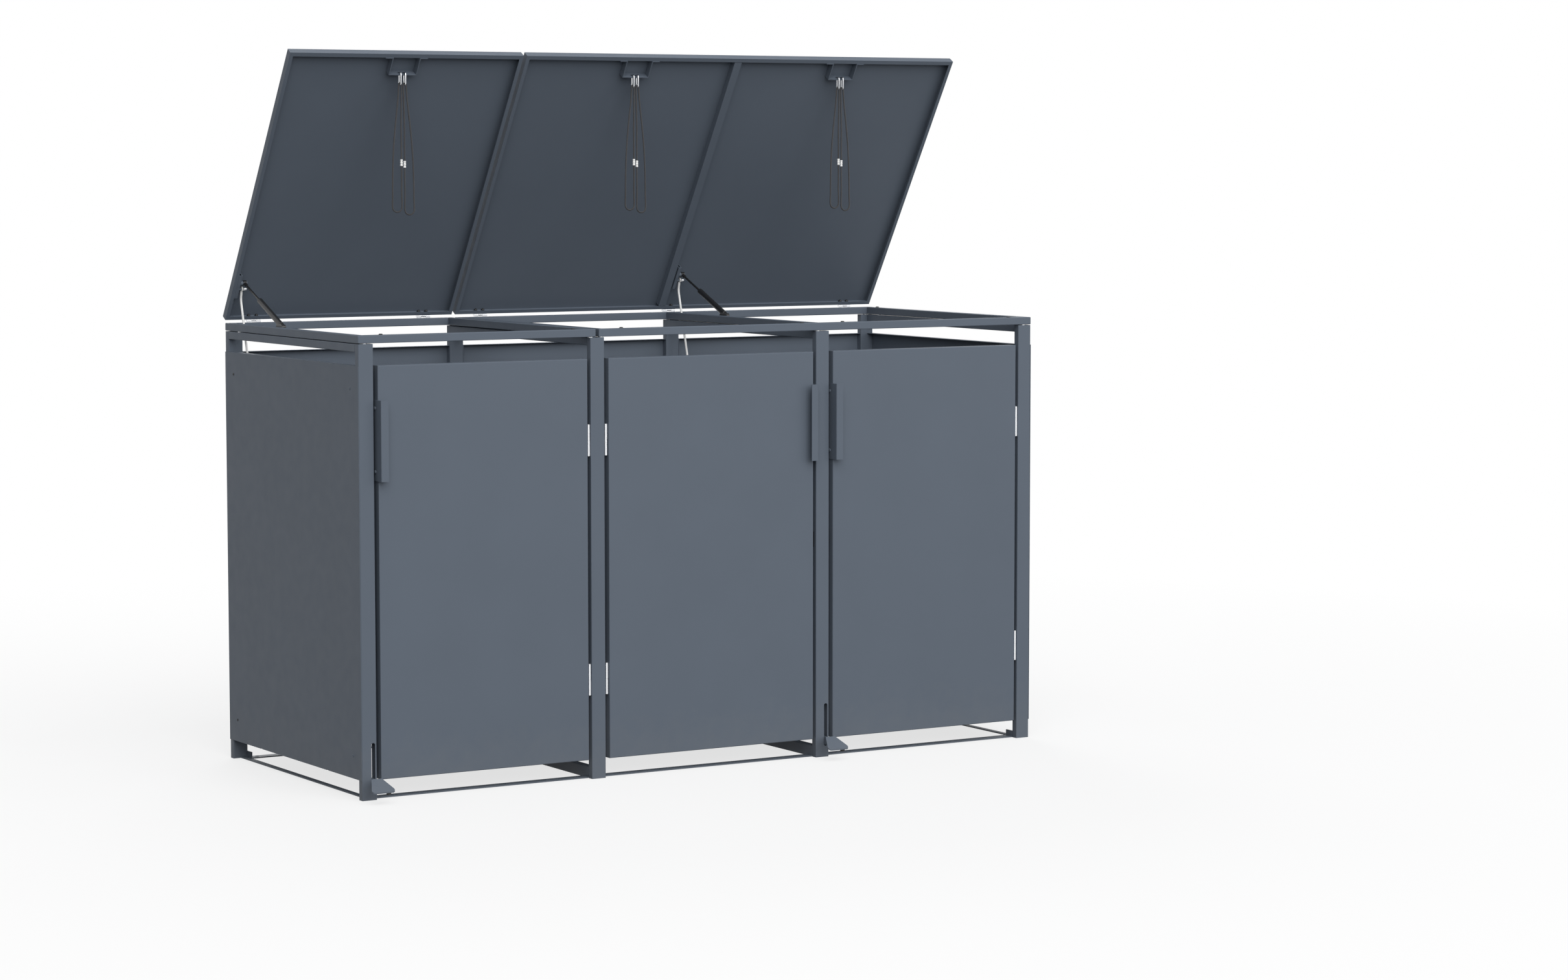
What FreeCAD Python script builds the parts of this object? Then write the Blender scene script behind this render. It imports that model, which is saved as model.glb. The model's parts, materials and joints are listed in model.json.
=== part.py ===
"""Wheelie bin store for three bins: steel frame, three doors, a single and a double lid.

Millimetres. X runs from the left post to the right one, Y from the doors to the back, Z up.
The origin is on the ground, in the middle of the footprint, which is also the middle of the
four ground anchor holes. The lids are open, as they stand at rest.
"""
import FreeCAD, Part
import Sketcher
import math
import os

Vector = FreeCAD.Vector
Rotation = FreeCAD.Rotation
Placement = FreeCAD.Placement

DRIVING = {
    "width": (2006, "left face of the left post to right face of the right post"),
    "depth": (810, "front face of the front posts to rear face of the rear posts"),
    "postwide": (40, "post section along X"),
    "postdeep": (20, "post section along Y"),
    "posttop": (1128.5, "top of the posts"),
    "tubewall": (1.5, "wall of every box section"),
    "tubecorner": (2, "outer corner radius of every box section"),
    "outerbay": (606, "clear width of the left and right bays"),
    "frametube": (20, "section of the top frame tubes"),
    "framelow": (1130, "underside of the top frames"),
    "singlewide": (661, "width of the single top frame and of the single lid"),
    "lidgap": (10, "gap between the single and the double lid"),
    "slotmid": (30.4, "middle of the pedal slot from the post's left face"),
    "slotwide": (10.4, "width of the pedal slot"),
    "slotlow": (29.2, "bottom of the pedal slot"),
    "slottop": (142.5, "top of the pedal slot"),
    "stripthick": (3, "thickness of the floor strips"),
    "stripwide": (30, "width of the front and rear floor strips"),
    "sidestripwide": (15, "width of the side floor strips"),
    "earhigh": (18, "top of the corner ears of the floor strips"),
    "anchorinset": (60, "anchor holes from the outer face of the corner posts"),
    "anchorline": (35, "anchor holes from the front and rear faces"),
    "anchorradius": (5.5, "radius of the anchor holes"),
    "crosswide": (20, "bottom cross member, section along X"),
    "crosshigh": (30, "bottom cross member, section along Z"),
    "panellow": (50, "bottom edge of the doors and panels"),
    "paneltop": (1075, "top edge of the doors and panels"),
    "skin": (1.2, "sheet thickness of panels, doors and lids"),
    "bend": (2, "outer radius of a folded sheet edge"),
    "fold": (20, "depth of the folded edges of panels and lids"),
    "doorfold": (30, "depth of the folded edges of the doors"),
    "doorproud": (3, "door face in front of the posts"),
    "doorgap": (10.4, "gap between a door and the posts beside it"),
    "pivotback": (4, "door hinge axis behind the front face of the posts"),
    "barrelradius": (4, "radius of the door hinge barrels"),
    "barrelhalf": (40, "length of one half of a door hinge"),
    "barrelgap": (0.3, "gap between the halves of a door hinge"),
    "doorpin": (2.5, "radius of the door hinge pins"),
    "running": (0.05, "radial clearance of pins in their bores"),
    "leaf": (1.5, "thickness of the door hinge leaves"),
    "hingelow": (216, "foot of the lower door hinge"),
    "hingehigh": (828, "foot of the upper door hinge"),
    "gripbottom": (790, "bottom of the door handles"),
    "griplong": (200, "length of the door handles"),
    "gripthick": (2.5, "thickness of the door handles"),
    "gripout": (25, "front of the handles from the front face of the posts"),
    "gripback": (15, "rear edge of the handles from the front face of the posts"),
    "gripleg": (20.4, "front leg of the handles"),
    "lidtop": (1173, "top of the closed lids"),
    "lidfront": (-1, "front face of the closed lids along Y"),
    "lidlip": (10, "lip folded inwards under the lid flanges"),
    "lidaxisback": (4, "lid hinge axis behind the lids' rear face"),
    "lidaxishigh": (1155, "lid hinge axis above the ground"),
    "lidopen": (58, "opening angle of the lids in degrees"),
    "knuckle": (3.6, "radius of the lid hinge knuckles"),
    "lidpin": (2, "radius of the lid hinge pins"),
    "lidhingewide": (40, "width of the lid hinges"),
    "lidleaf": (2, "thickness of the lid hinge leaves"),
    "strapbase": (79, "base of a strap bracket along X"),
    "strapfoot": (20, "foot of a strap bracket along X"),
    "strapwide": (20, "width of the strip of a strap bracket"),
    "strapthick": (2, "thickness of the strip of a strap bracket"),
    "strapreach": (51, "strap bracket base behind the front return of the lid"),
    "ringradius": (5.5, "centreline radius of the snap hooks' ends"),
    "ringwire": (1.75, "wire radius of the snap hooks"),
    "ringlong": (36, "length of the snap hooks"),
    "ringspread": (6.5, "snap hooks from the middle of their bracket"),
    "cordradius": (2, "radius of the elastic cord"),
    "ferrulelong": (17, "length of the crimp ferrules"),
    "ferruleradius": (3.5, "radius of the crimp ferrules"),
    "armthick": (4, "thickness of the pedal levers"),
    "pedalthick": (3, "thickness of the foot plates"),
}

doc = FreeCAD.newDocument("wheelie_bin_store")
sheet = doc.addObject("Spreadsheet::Sheet", "Sizes")


class Size:
    """A length that knows its value and the expression that works it out on the sheet."""

    def __init__(self, value, text):
        self.value = value
        self.text = text

    def __add__(self, other):
        return Size(self.value + value_of(other), f"({self.text} + {text_of(other)})")

    def __radd__(self, other):
        return Size(value_of(other) + self.value, f"({text_of(other)} + {self.text})")

    def __sub__(self, other):
        return Size(self.value - value_of(other), f"({self.text} - {text_of(other)})")

    def __rsub__(self, other):
        return Size(value_of(other) - self.value, f"({text_of(other)} - {self.text})")

    def __mul__(self, other):
        return Size(self.value * value_of(other), f"({self.text} * {text_of(other)})")

    def __rmul__(self, other):
        return self * other

    def __truediv__(self, other):
        return Size(self.value / value_of(other), f"({self.text} / {text_of(other)})")

    def __neg__(self):
        return Size(-self.value, f"(0 - {self.text})")


def value_of(size):
    return size.value if isinstance(size, Size) else size


def text_of(size):
    if isinstance(size, Size):
        return size.text
    return f"(0 - {-size})" if size < 0 else str(size)


def driving(alias):
    return Size(DRIVING[alias][0], f"Sizes.{alias}")


for row, (alias, (value, meaning)) in enumerate(DRIVING.items(), start=1):
    sheet.set(f"A{row}", meaning)
    sheet.set(f"B{row}", str(value))
    sheet.setAlias(f"B{row}", alias)
doc.recompute()

width = driving("width")
depth = driving("depth")
post_wide = driving("postwide")
post_deep = driving("postdeep")
post_top = driving("posttop")
wall = driving("tubewall")
frame_tube = driving("frametube")
frame_low = driving("framelow")
single_wide = driving("singlewide")
double_left = single_wide + driving("lidgap")
strip_thick = driving("stripthick")
cross_wide = driving("crosswide")
cross_high = driving("crosshigh")
panel_low = driving("panellow")
panel_top = driving("paneltop")
skin = driving("skin")
fold = driving("fold")
door_fold = driving("doorfold")
door_proud = driving("doorproud")
running = driving("running")
lid_top = driving("lidtop")
lid_front = driving("lidfront")
lip = driving("lidlip")

panel_high = panel_top - panel_low
rear_post = depth - post_deep
post_lefts = [
    0 * width,
    post_wide + driving("outerbay"),
    width - 2 * post_wide - driving("outerbay"),
    width - post_wide,
]
bays = [(post_lefts[k] + post_wide, post_lefts[k + 1]) for k in range(3)]

# The mechanism of the double lid repeats that of the single lid, one middle post further on.
mechanism_shift = [0 * width, post_lefts[2]]

HOME = (-width / 2, -depth / 2, 0)
ALONG = {"x": Rotation(Vector(0, 1, 0), 90), "y": Rotation(Vector(1, 0, 0), -90), "z": Rotation()}
nodes = []


def bind(item, **sizes):
    """Set each property, and tie it to the sheet where its size comes from there."""
    for name, size in sizes.items():
        setattr(item, name, value_of(size))
        if isinstance(size, Size):
            item.setExpression(name, size.text)


def place(item, x, y, z, turn=None):
    item.Placement = Placement(Vector(value_of(x), value_of(y), value_of(z)), turn or Rotation())
    for axis, size in zip("xyz", (x, y, z)):
        if isinstance(size, Size):
            item.setExpression(f"Placement.Base.{axis}", size.text)
    return item


def block(x, y, z, wide, deep, high):
    """A plain block with its low corner at x, y, z."""
    item = doc.addObject("Part::Box", "Block")
    bind(item, Length=wide, Width=deep, Height=high)
    return place(item, x, y, z)


def rod(axis, x, y, z, radius, long):
    """A round bar that starts at x, y, z and runs along an axis."""
    item = doc.addObject("Part::Cylinder", "Rod")
    bind(item, Radius=radius, Height=long)
    return place(item, x, y, z, ALONG[axis])


def group(pieces):
    item = doc.addObject("Part::Compound", "Group")
    item.Links = pieces
    return item


def cut(base, *tools):
    item = doc.addObject("Part::Cut", "Cut")
    item.Base = base
    item.Tool = tools[0] if len(tools) == 1 else group(list(tools))
    return item


def fuse(*pieces):
    item = doc.addObject("Part::MultiFuse", "Fuse")
    item.Shapes = list(pieces)
    item.Refine = True
    return item


def common(one, other):
    item = doc.addObject("Part::MultiCommon", "Common")
    item.Shapes = [one, other]
    return item


def rounded(base, radius, wanted):
    """Round the edges of a base that the test picks."""
    doc.recompute([base])
    item = doc.addObject("Part::Fillet", "Rounded")
    item.Base = base
    size = value_of(radius)
    numbers = [n for n, edge in enumerate(base.Shape.Edges, start=1) if wanted(edge)]
    item.Edges = [(n, size, size) for n in numbers]
    return item


def runs_along(axis):
    """A test for straight edges that run along an axis."""
    return lambda edge: abs(getattr(edge.tangentAt(edge.FirstParameter), axis)) > 0.999


def lies_at(axis, level):
    """A test for edges that lie wholly at one level of an axis."""
    level = value_of(level)
    return lambda edge: all(abs(getattr(corner.Point, axis) - level) < 0.01 for corner in edge.Vertexes)


def edges_along_x(level):
    """A test for the edges along X at one height."""
    return lambda edge: runs_along("x")(edge) and lies_at("z", level)(edge)


def node(label, *pieces):
    """A named sub-part, moved from the corner of the footprint to the origin in its middle."""
    item = group(list(pieces))
    item.Label = label
    place(item, *HOME)
    nodes.append(item)
    return item


def turned(item, centre, angle):
    """Turn a finished sub-part about an X axis through a centre given as Y and Z."""
    about = Vector(0, value_of(centre[0]), value_of(centre[1]))
    home = Vector(*(value_of(size) for size in HOME))
    item.Placement = Placement(home, Rotation(Vector(1, 0, 0), angle), about)
    for axis in "xyz":
        item.setExpression(f"Placement.Base.{axis}", None)
    item.setExpression("Placement.Base.x", HOME[0].text)
    return item


def tube(axis, x, y, z, wide, deep, high):
    """A box section that runs along an axis, with rounded outer corners."""
    outer = rounded(block(x, y, z, wide, deep, high), driving("tubecorner"), runs_along(axis))
    spare = {side: 0 if side == axis else 1 for side in "xyz"}
    inner = block(
        x + wall * spare["x"], y + wall * spare["y"], z + wall * spare["z"],
        wide - 2 * wall * spare["x"], deep - 2 * wall * spare["y"], high - 2 * wall * spare["z"],
    )
    return cut(outer, inner)


# Posts

def straight_line(sketch, start, end):
    return sketch.addGeometry(Part.LineSegment(Vector(*start, 0), Vector(*end, 0)), False)


def sketch_rectangle(sketch, left, low, wide, high):
    """A rectangle tied to the sketch's origin and to the sheet."""
    x0, y0 = value_of(left), value_of(low)
    x1, y1 = x0 + value_of(wide), y0 + value_of(high)
    corners = [(x0, y0), (x1, y0), (x1, y1), (x0, y1)]
    sides = [straight_line(sketch, corners[k], corners[(k + 1) % 4]) for k in range(4)]
    for k in range(4):
        sketch.addConstraint(Sketcher.Constraint("Coincident", sides[k], 2, sides[(k + 1) % 4], 1))
    for side, direction in zip(sides, ("Horizontal", "Vertical", "Horizontal", "Vertical")):
        sketch.addConstraint(Sketcher.Constraint(direction, side))
    measures = (
        ("DistanceX", -1, 1, sides[0], 1, left),
        ("DistanceY", -1, 1, sides[0], 1, low),
        ("DistanceX", sides[0], 1, sides[0], 2, wide),
        ("DistanceY", sides[1], 1, sides[1], 2, high),
    )
    for kind, first, first_end, second, second_end, size in measures:
        rule = Sketcher.Constraint(kind, first, first_end, second, second_end, value_of(size))
        number = sketch.addConstraint(rule)
        if isinstance(size, Size):
            sketch.setExpression(f"Constraints[{number}]", size.text)


def sketch_on(body, role, name):
    """A sketch on one of the body's own origin planes."""
    sketch = body.newObject("Sketcher::SketchObject", name)
    plane = next(part for part in body.Origin.OriginFeatures if part.Role == role)
    sketch.AttachmentSupport = [(plane, "")]
    sketch.MapMode = "FlatFace"
    return sketch


def front_post(label, left, slotted):
    """An upright of box section. The two that carry a pedal have a slot with round ends."""
    body = doc.addObject("PartDesign::Body", "Post")
    body.Label = label
    section = sketch_on(body, "XY_Plane", "Section")
    sketch_rectangle(section, 0, 0, post_wide, post_deep)
    sketch_rectangle(section, wall, wall, post_wide - 2 * wall, post_deep - 2 * wall)
    pad = body.newObject("PartDesign::Pad", "Upright")
    pad.Profile = section
    bind(pad, Length=post_top)
    doc.recompute()
    corners = body.newObject("PartDesign::Fillet", "Corners")
    outer = []
    for number, edge in enumerate(pad.Shape.Edges, start=1):
        foot = edge.Vertexes[0].Point
        on_corner = foot.x in (0, post_wide.value) and foot.y in (0, post_deep.value)
        if runs_along("z")(edge) and on_corner:
            outer.append(f"Edge{number}")
    corners.Base = (pad, outer)
    bind(corners, Radius=driving("tubecorner"))
    if slotted:
        doc.recompute()
        solid_volume = body.Shape.Volume
        opening = sketch_on(body, "XZ_Plane", "Opening")
        end_radius = driving("slotwide") / 2
        sketch_slot(opening, driving("slotmid"), driving("slotlow"), driving("slottop"), end_radius)
        pocket = body.newObject("PartDesign::Pocket", "Slot")
        pocket.Profile = opening
        pocket.Type = "ThroughAll"
        doc.recompute()
        if not body.Shape.Volume < solid_volume - 1:
            raise SystemExit(f"{label}: the slot cuts nothing")
    place(body, left + HOME[0], HOME[1], 0)
    nodes.append(body)


def sketch_slot(sketch, middle, low, top, radius):
    """An upright slot with round ends."""
    x, r = middle.value, radius.value
    z0, z1 = low.value + r, top.value - r
    right = straight_line(sketch, (x + r, z0), (x + r, z1))
    left = straight_line(sketch, (x - r, z1), (x - r, z0))
    upper_round = Part.Circle(Vector(x, z1, 0), Vector(0, 0, 1), r)
    lower_round = Part.Circle(Vector(x, z0, 0), Vector(0, 0, 1), r)
    upper = sketch.addGeometry(Part.ArcOfCircle(upper_round, 0, math.pi), False)
    lower = sketch.addGeometry(Part.ArcOfCircle(lower_round, math.pi, 2 * math.pi), False)
    for one, one_end, other, other_end in (
        (right, 2, upper, 1), (upper, 2, left, 1), (left, 2, lower, 1), (lower, 2, right, 1),
    ):
        sketch.addConstraint(Sketcher.Constraint("Tangent", one, one_end, other, other_end))
    sketch.addConstraint(Sketcher.Constraint("Vertical", right))
    measures = (
        ("DistanceX", lower, middle),
        ("DistanceY", lower, low + radius),
        ("DistanceY", upper, top - radius),
    )
    for kind, item, size in measures:
        number = sketch.addConstraint(Sketcher.Constraint(kind, -1, 1, item, 3, size.value))
        sketch.setExpression(f"Constraints[{number}]", size.text)
    number = sketch.addConstraint(Sketcher.Constraint("Radius", lower, r))
    sketch.setExpression(f"Constraints[{number}]", radius.text)


for number, (left, slotted) in enumerate(zip(post_lefts, (True, False, True, False)), start=1):
    front_post(f"post_front_{number}", left, slotted)
node("posts_rear", *(tube("z", left, rear_post, 0, post_wide, post_deep, post_top) for left in post_lefts))

# Rails, cross members and top frames

rail_long = depth - 2 * post_deep
rail_low = post_top - frame_tube
right_rail = width - frame_tube
node(
    "upper_cross_rails",
    tube("y", 0, post_deep, rail_low, frame_tube, rail_long, frame_tube),
    tube("y", post_lefts[1], post_deep, rail_low, post_wide, rail_long, frame_tube),
    tube("y", post_lefts[2], post_deep, rail_low, frame_tube, rail_long, frame_tube),
    tube("y", right_rail, post_deep, rail_low, frame_tube, rail_long, frame_tube),
)
cross_lefts = [post_lefts[1], post_lefts[2]]
node(
    "bottom_cross_members",
    *(tube("y", left, post_deep, 0, cross_wide, rail_long, cross_high) for left in cross_lefts),
)


def mitred_tube(x, y, long, quarter_turns):
    """A top frame tube cut at 45 degrees at both ends, its outer face along its length."""
    outer = doc.addObject("Part::Wedge", "Mitred")
    bind(
        outer, Xmin=0, Xmax=long, X2min=frame_tube, X2max=long - frame_tube, Ymin=0, Ymax=frame_tube,
        Zmin=0, Z2min=0, Zmax=frame_tube, Z2max=frame_tube,
    )
    solid = rounded(outer, driving("tubecorner"), runs_along("x"))
    bore = frame_tube - 2 * wall
    hollow = cut(solid, block(0, wall, wall, long, bore, bore))
    return place(hollow, x, y, frame_low, Rotation(Vector(0, 0, 1), 90 * quarter_turns))


def top_frame(label, left, right, *more):
    """Four mitred tubes that a lid closes on."""
    node(
        label,
        mitred_tube(left, 0, right - left, 0),
        mitred_tube(right, 0, depth, 1),
        mitred_tube(right, depth, right - left, 2),
        mitred_tube(left, depth, depth, 3),
        *more,
    )


middle_rail = tube(
    "y", post_lefts[2], frame_tube, frame_low, frame_tube, depth - 2 * frame_tube, frame_tube)
top_frame("top_frame_single", 0 * width, single_wide)
top_frame("top_frame_double", double_left, width, middle_rail)

spacer_radius = 7
spacer_places = [
    post_wide / 2,
    single_wide - frame_tube / 2,
    double_left + frame_tube / 2,
    post_lefts[2] + frame_tube / 2,
    width - post_wide / 2,
]
spacer_lines = [post_deep / 2, depth - post_deep / 2]
side_spacer_places = [frame_tube / 2, width - frame_tube / 2]
side_spacer_line = 735
spacer_high = frame_low - post_top
node(
    "frame_spacers",
    *(rod("z", x, y, post_top, spacer_radius, spacer_high) for x in spacer_places for y in spacer_lines),
    *(rod("z", x, side_spacer_line, post_top, spacer_radius, spacer_high) for x in side_spacer_places),
)

# Floor strips with the four anchor holes, and the ears that join them to the corner posts

side_strip_wide = driving("sidestripwide")
strip_wide = driving("stripwide")
strip_inner = post_deep + side_strip_wide
strip_bays = [
    (strip_inner, cross_lefts[0]),
    (cross_lefts[0] + cross_wide, cross_lefts[1]),
    (cross_lefts[1] + cross_wide, width - strip_inner),
]
anchor_places = [driving("anchorinset"), width - driving("anchorinset")]
anchor_lines = [driving("anchorline"), depth - driving("anchorline")]


def floor_strip(bay, low_edge, hole_line):
    left, right = strip_bays[bay]
    strip = block(left, low_edge, 0, right - left, strip_wide, strip_thick)
    if bay == 1:
        return strip
    place_of_hole = anchor_places[0] if bay == 0 else anchor_places[1]
    return cut(strip, rod("z", place_of_hole, hole_line, 0, driving("anchorradius"), strip_thick))


strip_edges = [post_deep, depth - post_deep - strip_wide]
ear_high = driving("earhigh") - strip_thick
ear_lefts = [post_wide - strip_thick, width - post_wide]
node(
    "floor_strips",
    *(floor_strip(bay, edge, line) for bay in range(3) for edge, line in zip(strip_edges, anchor_lines)),
    block(post_deep, post_deep, 0, side_strip_wide, rail_long, strip_thick),
    block(width - strip_inner, post_deep, 0, side_strip_wide, rail_long, strip_thick),
    *(block(x, y, strip_thick, strip_thick, strip_wide, ear_high) for x in ear_lefts for y in strip_edges),
)

# Side and back panels

rivet_radius = 4
rivet_high = 1.2
rivet_places = [(49, 1018), (758, 1018), (758, 107), (49, 107)]
notch_starts = (196, 602)
notch_long = 10
notch_high = 2
fold_play = 0.5
past = 1


def side_panel(label, outer_face, inner_face, inwards):
    """A flat sheet outside the posts with a fold along its top and bottom edges."""
    left = outer_face if inwards > 0 else inner_face
    fold_left = inner_face if inwards > 0 else inner_face + skin - fold
    sheet_plate = block(left, 0, panel_low, skin, depth, panel_high)
    fold_start = post_deep + fold_play
    folds = [
        block(fold_left, fold_start, z, fold - skin, depth - 2 * fold_start, skin)
        for z in (panel_low, panel_top - skin)
    ]
    notches = [
        block(left - past, y, panel_low - past, skin + 2 * past, notch_long, notch_high + past)
        for y in notch_starts
    ]
    node(label, cut(fuse(sheet_plate, *folds), *notches))


side_panel("side_panel_left", -skin, 0 * width, 1)
side_panel("side_panel_right", width + skin, width, -1)


def dome(x, y, z, radius, high, turn):
    """A low round head, its flat face at x, y, z."""
    head = doc.addObject("Part::Cylinder", "Dome")
    bind(head, Radius=radius, Height=high)
    soft = rounded(head, 0.7 * value_of(high), lies_at("z", high))
    return place(soft, x, y, z, turn)


FACING = {
    "left": Rotation(Vector(0, 1, 0), -90),
    "right": Rotation(Vector(0, 1, 0), 90),
    "back": Rotation(Vector(1, 0, 0), -90),
    "front": Rotation(Vector(1, 0, 0), 90),
    "up": Rotation(),
}
node(
    "panel_rivets",
    *(dome(-skin, y, z, rivet_radius, rivet_high, FACING["left"]) for y, z in rivet_places),
    *(dome(width + skin, y, z, rivet_radius, rivet_high, FACING["right"]) for y, z in rivet_places),
)


def folded_tray(left, near, low, wide, deep, high, opening_faces_back):
    """A sheet folded back on all four edges, its face to the front or to the rear."""
    face = near if opening_faces_back else near + deep
    outer = rounded(block(left, near, low, wide, deep, high), driving("bend"), lies_at("y", face))
    inner_near = near + skin if opening_faces_back else near
    inner = block(left + skin, inner_near, low + skin, wide - 2 * skin, deep - skin, high - 2 * skin)
    return cut(outer, inner)


back_inset = 1
for number, (left, right) in enumerate(bays, start=1):
    tray = folded_tray(left, rear_post, panel_low, right - left, fold - back_inset, panel_high, False)
    node(f"back_panel_{number}", tray)

# Doors: the hinge side of each, -1 left and 1 right

HINGE_SIDES = (1, -1, 1)
door_gap = driving("doorgap")
pivot_back = driving("pivotback")
barrel_radius = driving("barrelradius")
barrel_half = driving("barrelhalf")
door_pin = driving("doorpin")
leaf = driving("leaf")
hinge_feet = [driving("hingelow"), driving("hingehigh")]
grip_thick = driving("gripthick")
grip_bottom = driving("gripbottom")
screw_heights = (813, 970)
screw_line = 9
screw_radius = 4.5
screw_high = 2.4
leaf_inset = 2
pin_inset = 4
catch_low = 560
catch_high = 40
catch_lap = 10
catch_long = 24
magnet_wide = 20
magnet_deep = 8
magnet_high = 30
magnet_gap = 0.5
post_halves = []
door_catches = []


def hinge_half(pivot, foot, leaf_left, bore_radius):
    """A barrel with a leaf beside it, bored for the pin."""
    barrel = rod("z", pivot, pivot_back, foot, barrel_radius, barrel_half)
    plate = block(leaf_left, pivot_back, foot, leaf, post_deep - pivot_back - leaf_inset, barrel_half)
    bore = rod("z", pivot, pivot_back, foot, bore_radius, barrel_half)
    return cut(fuse(barrel, plate), bore)


for number, ((bay_left, bay_right), side) in enumerate(zip(bays, HINGE_SIDES), start=1):
    left = bay_left + door_gap
    right = bay_right - door_gap
    tray = folded_tray(left, -door_proud, panel_low, right - left, door_fold, panel_high, True)
    node(f"door_{number}", tray)

    free_edge = left if side > 0 else right
    hinge_edge = right if side > 0 else left
    post_face = bay_right if side > 0 else bay_left
    pivot = hinge_edge + side * door_gap / 2

    grip_left = free_edge - grip_thick if side > 0 else free_edge
    front_left = grip_left if side > 0 else free_edge + grip_thick - driving("gripleg")
    side_leg = block(
        grip_left, -driving("gripout"), grip_bottom, grip_thick,
        driving("gripout") + driving("gripback"), driving("griplong"))
    front_leg = block(
        front_left, -driving("gripout"), grip_bottom, driving("gripleg"), grip_thick, driving("griplong"))
    outer_corner = (grip_left if side > 0 else grip_left + grip_thick).value

    def outer_bend(edge, x=outer_corner):
        return lies_at("x", x)(edge) and lies_at("y", -driving("gripout"))(edge)

    grip = rounded(fuse(side_leg, front_leg), grip_thick, outer_bend)
    facing = FACING["left" if side > 0 else "right"]
    head_face = grip_left if side > 0 else grip_left + grip_thick
    node(f"door_handle_{number}", grip)
    node(
        f"handle_screws_{number}",
        *(dome(head_face, screw_line, z, screw_radius, screw_high, facing) for z in screw_heights),
    )

    door_leaf = hinge_edge if side > 0 else hinge_edge - leaf
    post_leaf = post_face - leaf if side > 0 else post_face
    upper_feet = [foot + barrel_half + driving("barrelgap") for foot in hinge_feet]
    upper_halves = [hinge_half(pivot, foot, door_leaf, door_pin + running) for foot in upper_feet]
    node(f"door_hinge_{number}", *upper_halves)
    for foot in hinge_feet:
        pin_long = 2 * barrel_half - pin_inset
        half = hinge_half(pivot, foot, post_leaf, door_pin)
        post_halves.append(fuse(half, rod("z", pivot, pivot_back, foot, door_pin, pin_long)))

    catch_face = bay_left if side > 0 else bay_right
    plate_left = catch_face if side > 0 else catch_face - leaf
    magnet_left = catch_face + leaf if side > 0 else catch_face - leaf - magnet_wide
    magnet_near = door_fold - door_proud + magnet_gap
    magnet_low = catch_low + (catch_high - magnet_high) / 2
    plate = block(plate_left, post_deep - catch_lap, catch_low, leaf, catch_long, catch_high)
    magnet = block(magnet_left, magnet_near, magnet_low, magnet_wide, magnet_deep, magnet_high)
    door_catches.append(fuse(plate, magnet))

node("door_hinge_post_halves", *post_halves)
node("door_catches", *door_catches)

# Lids, drawn closed and then turned open about their hinge axis

lid_axis = (depth + driving("lidaxisback"), driving("lidaxishigh"))
lid_open = driving("lidopen").value
lid_low = lid_top - fold
lid_long = depth - lid_front
front_return_high = 17.8
leaf_thick = driving("lidleaf")
knuckle = driving("knuckle")
lid_pin = driving("lidpin")
hinge_wide = driving("lidhingewide")
leaf_start = 4.4
leaf_high = 12.6
knuckle_gap = 0.4
hinge_screw_spread = 11
hinge_screw_drop = 8
hinge_head = (3.6, 2)
hinge_nut = (3.8, 4.5)
return_face = lid_front + lip + 1


def lid_node(label, *pieces):
    return turned(node(label, *pieces), lid_axis, -lid_open)


def lid_tray(left, right):
    """A sheet folded down on four edges, with a lip under them and a return behind the front one."""
    wide = right - left
    outer = rounded(
        block(left, lid_front, lid_low, wide, lid_long, fold), driving("bend"), lies_at("z", lid_top))
    inner = block(
        left + skin, lid_front + skin, lid_low + skin,
        wide - 2 * skin, lid_long - 2 * skin, fold - 2 * skin,
    )
    opening = block(left + lip, return_face, lid_low, wide - 2 * lip, depth - lip - return_face, skin)
    front_return = block(
        left + skin, return_face - skin, lid_low + skin,
        wide - 2 * skin, skin, front_return_high - skin,
    )
    return fuse(cut(outer, inner, opening), front_return)


def lid_leaf(middle):
    """The moving half of a lid hinge: a leaf on the rear flange and the middle knuckle."""
    third = hinge_wide / 3 - knuckle_gap
    plate = block(
        middle - hinge_wide / 2, depth, lid_axis[1] + leaf_start, hinge_wide, leaf_thick, leaf_high)
    tab = block(middle - third / 2, depth, lid_axis[1], third, leaf_thick, leaf_start)
    barrel = rod("x", middle - third / 2, lid_axis[0], lid_axis[1], knuckle, third)
    bore = rod("x", middle - third / 2, lid_axis[0], lid_axis[1], lid_pin + running, third)
    return cut(fuse(plate, tab, barrel), bore)


def frame_leaf(middle):
    """The fixed half of a lid hinge: a leaf on the top frame, two knuckles and the pin."""
    third = hinge_wide / 3
    frame_top = frame_low + frame_tube
    plate = block(middle - hinge_wide / 2, depth, frame_low + 1, hinge_wide, leaf_thick, frame_tube - 1)
    pieces = [plate, rod("x", middle - hinge_wide / 2, lid_axis[0], lid_axis[1], lid_pin, hinge_wide)]
    for start in (middle - hinge_wide / 2, middle + hinge_wide / 2 - third):
        tab_high = lid_axis[1] - frame_top
        tab_thick = leaf_thick - knuckle_gap
        pieces.append(block(start, depth + knuckle_gap, frame_top, third, tab_thick, tab_high))
        pieces.append(rod("x", start, lid_axis[0], lid_axis[1], knuckle, third))
    return fuse(*pieces)


def hinge_fasteners(middle):
    """Screw heads outside the rear flange of a lid and domed nuts inside it."""
    pieces = []
    line = lid_top - hinge_screw_drop
    for x in (middle - hinge_screw_spread, middle + hinge_screw_spread):
        pieces.append(dome(x, depth + leaf_thick, line, *hinge_head, FACING["back"]))
        pieces.append(dome(x, depth - skin, line, *hinge_nut, FACING["front"]))
    return pieces


# Mechanism of a lid: pins on the lid's bracket, drawn in the closed lid

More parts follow.
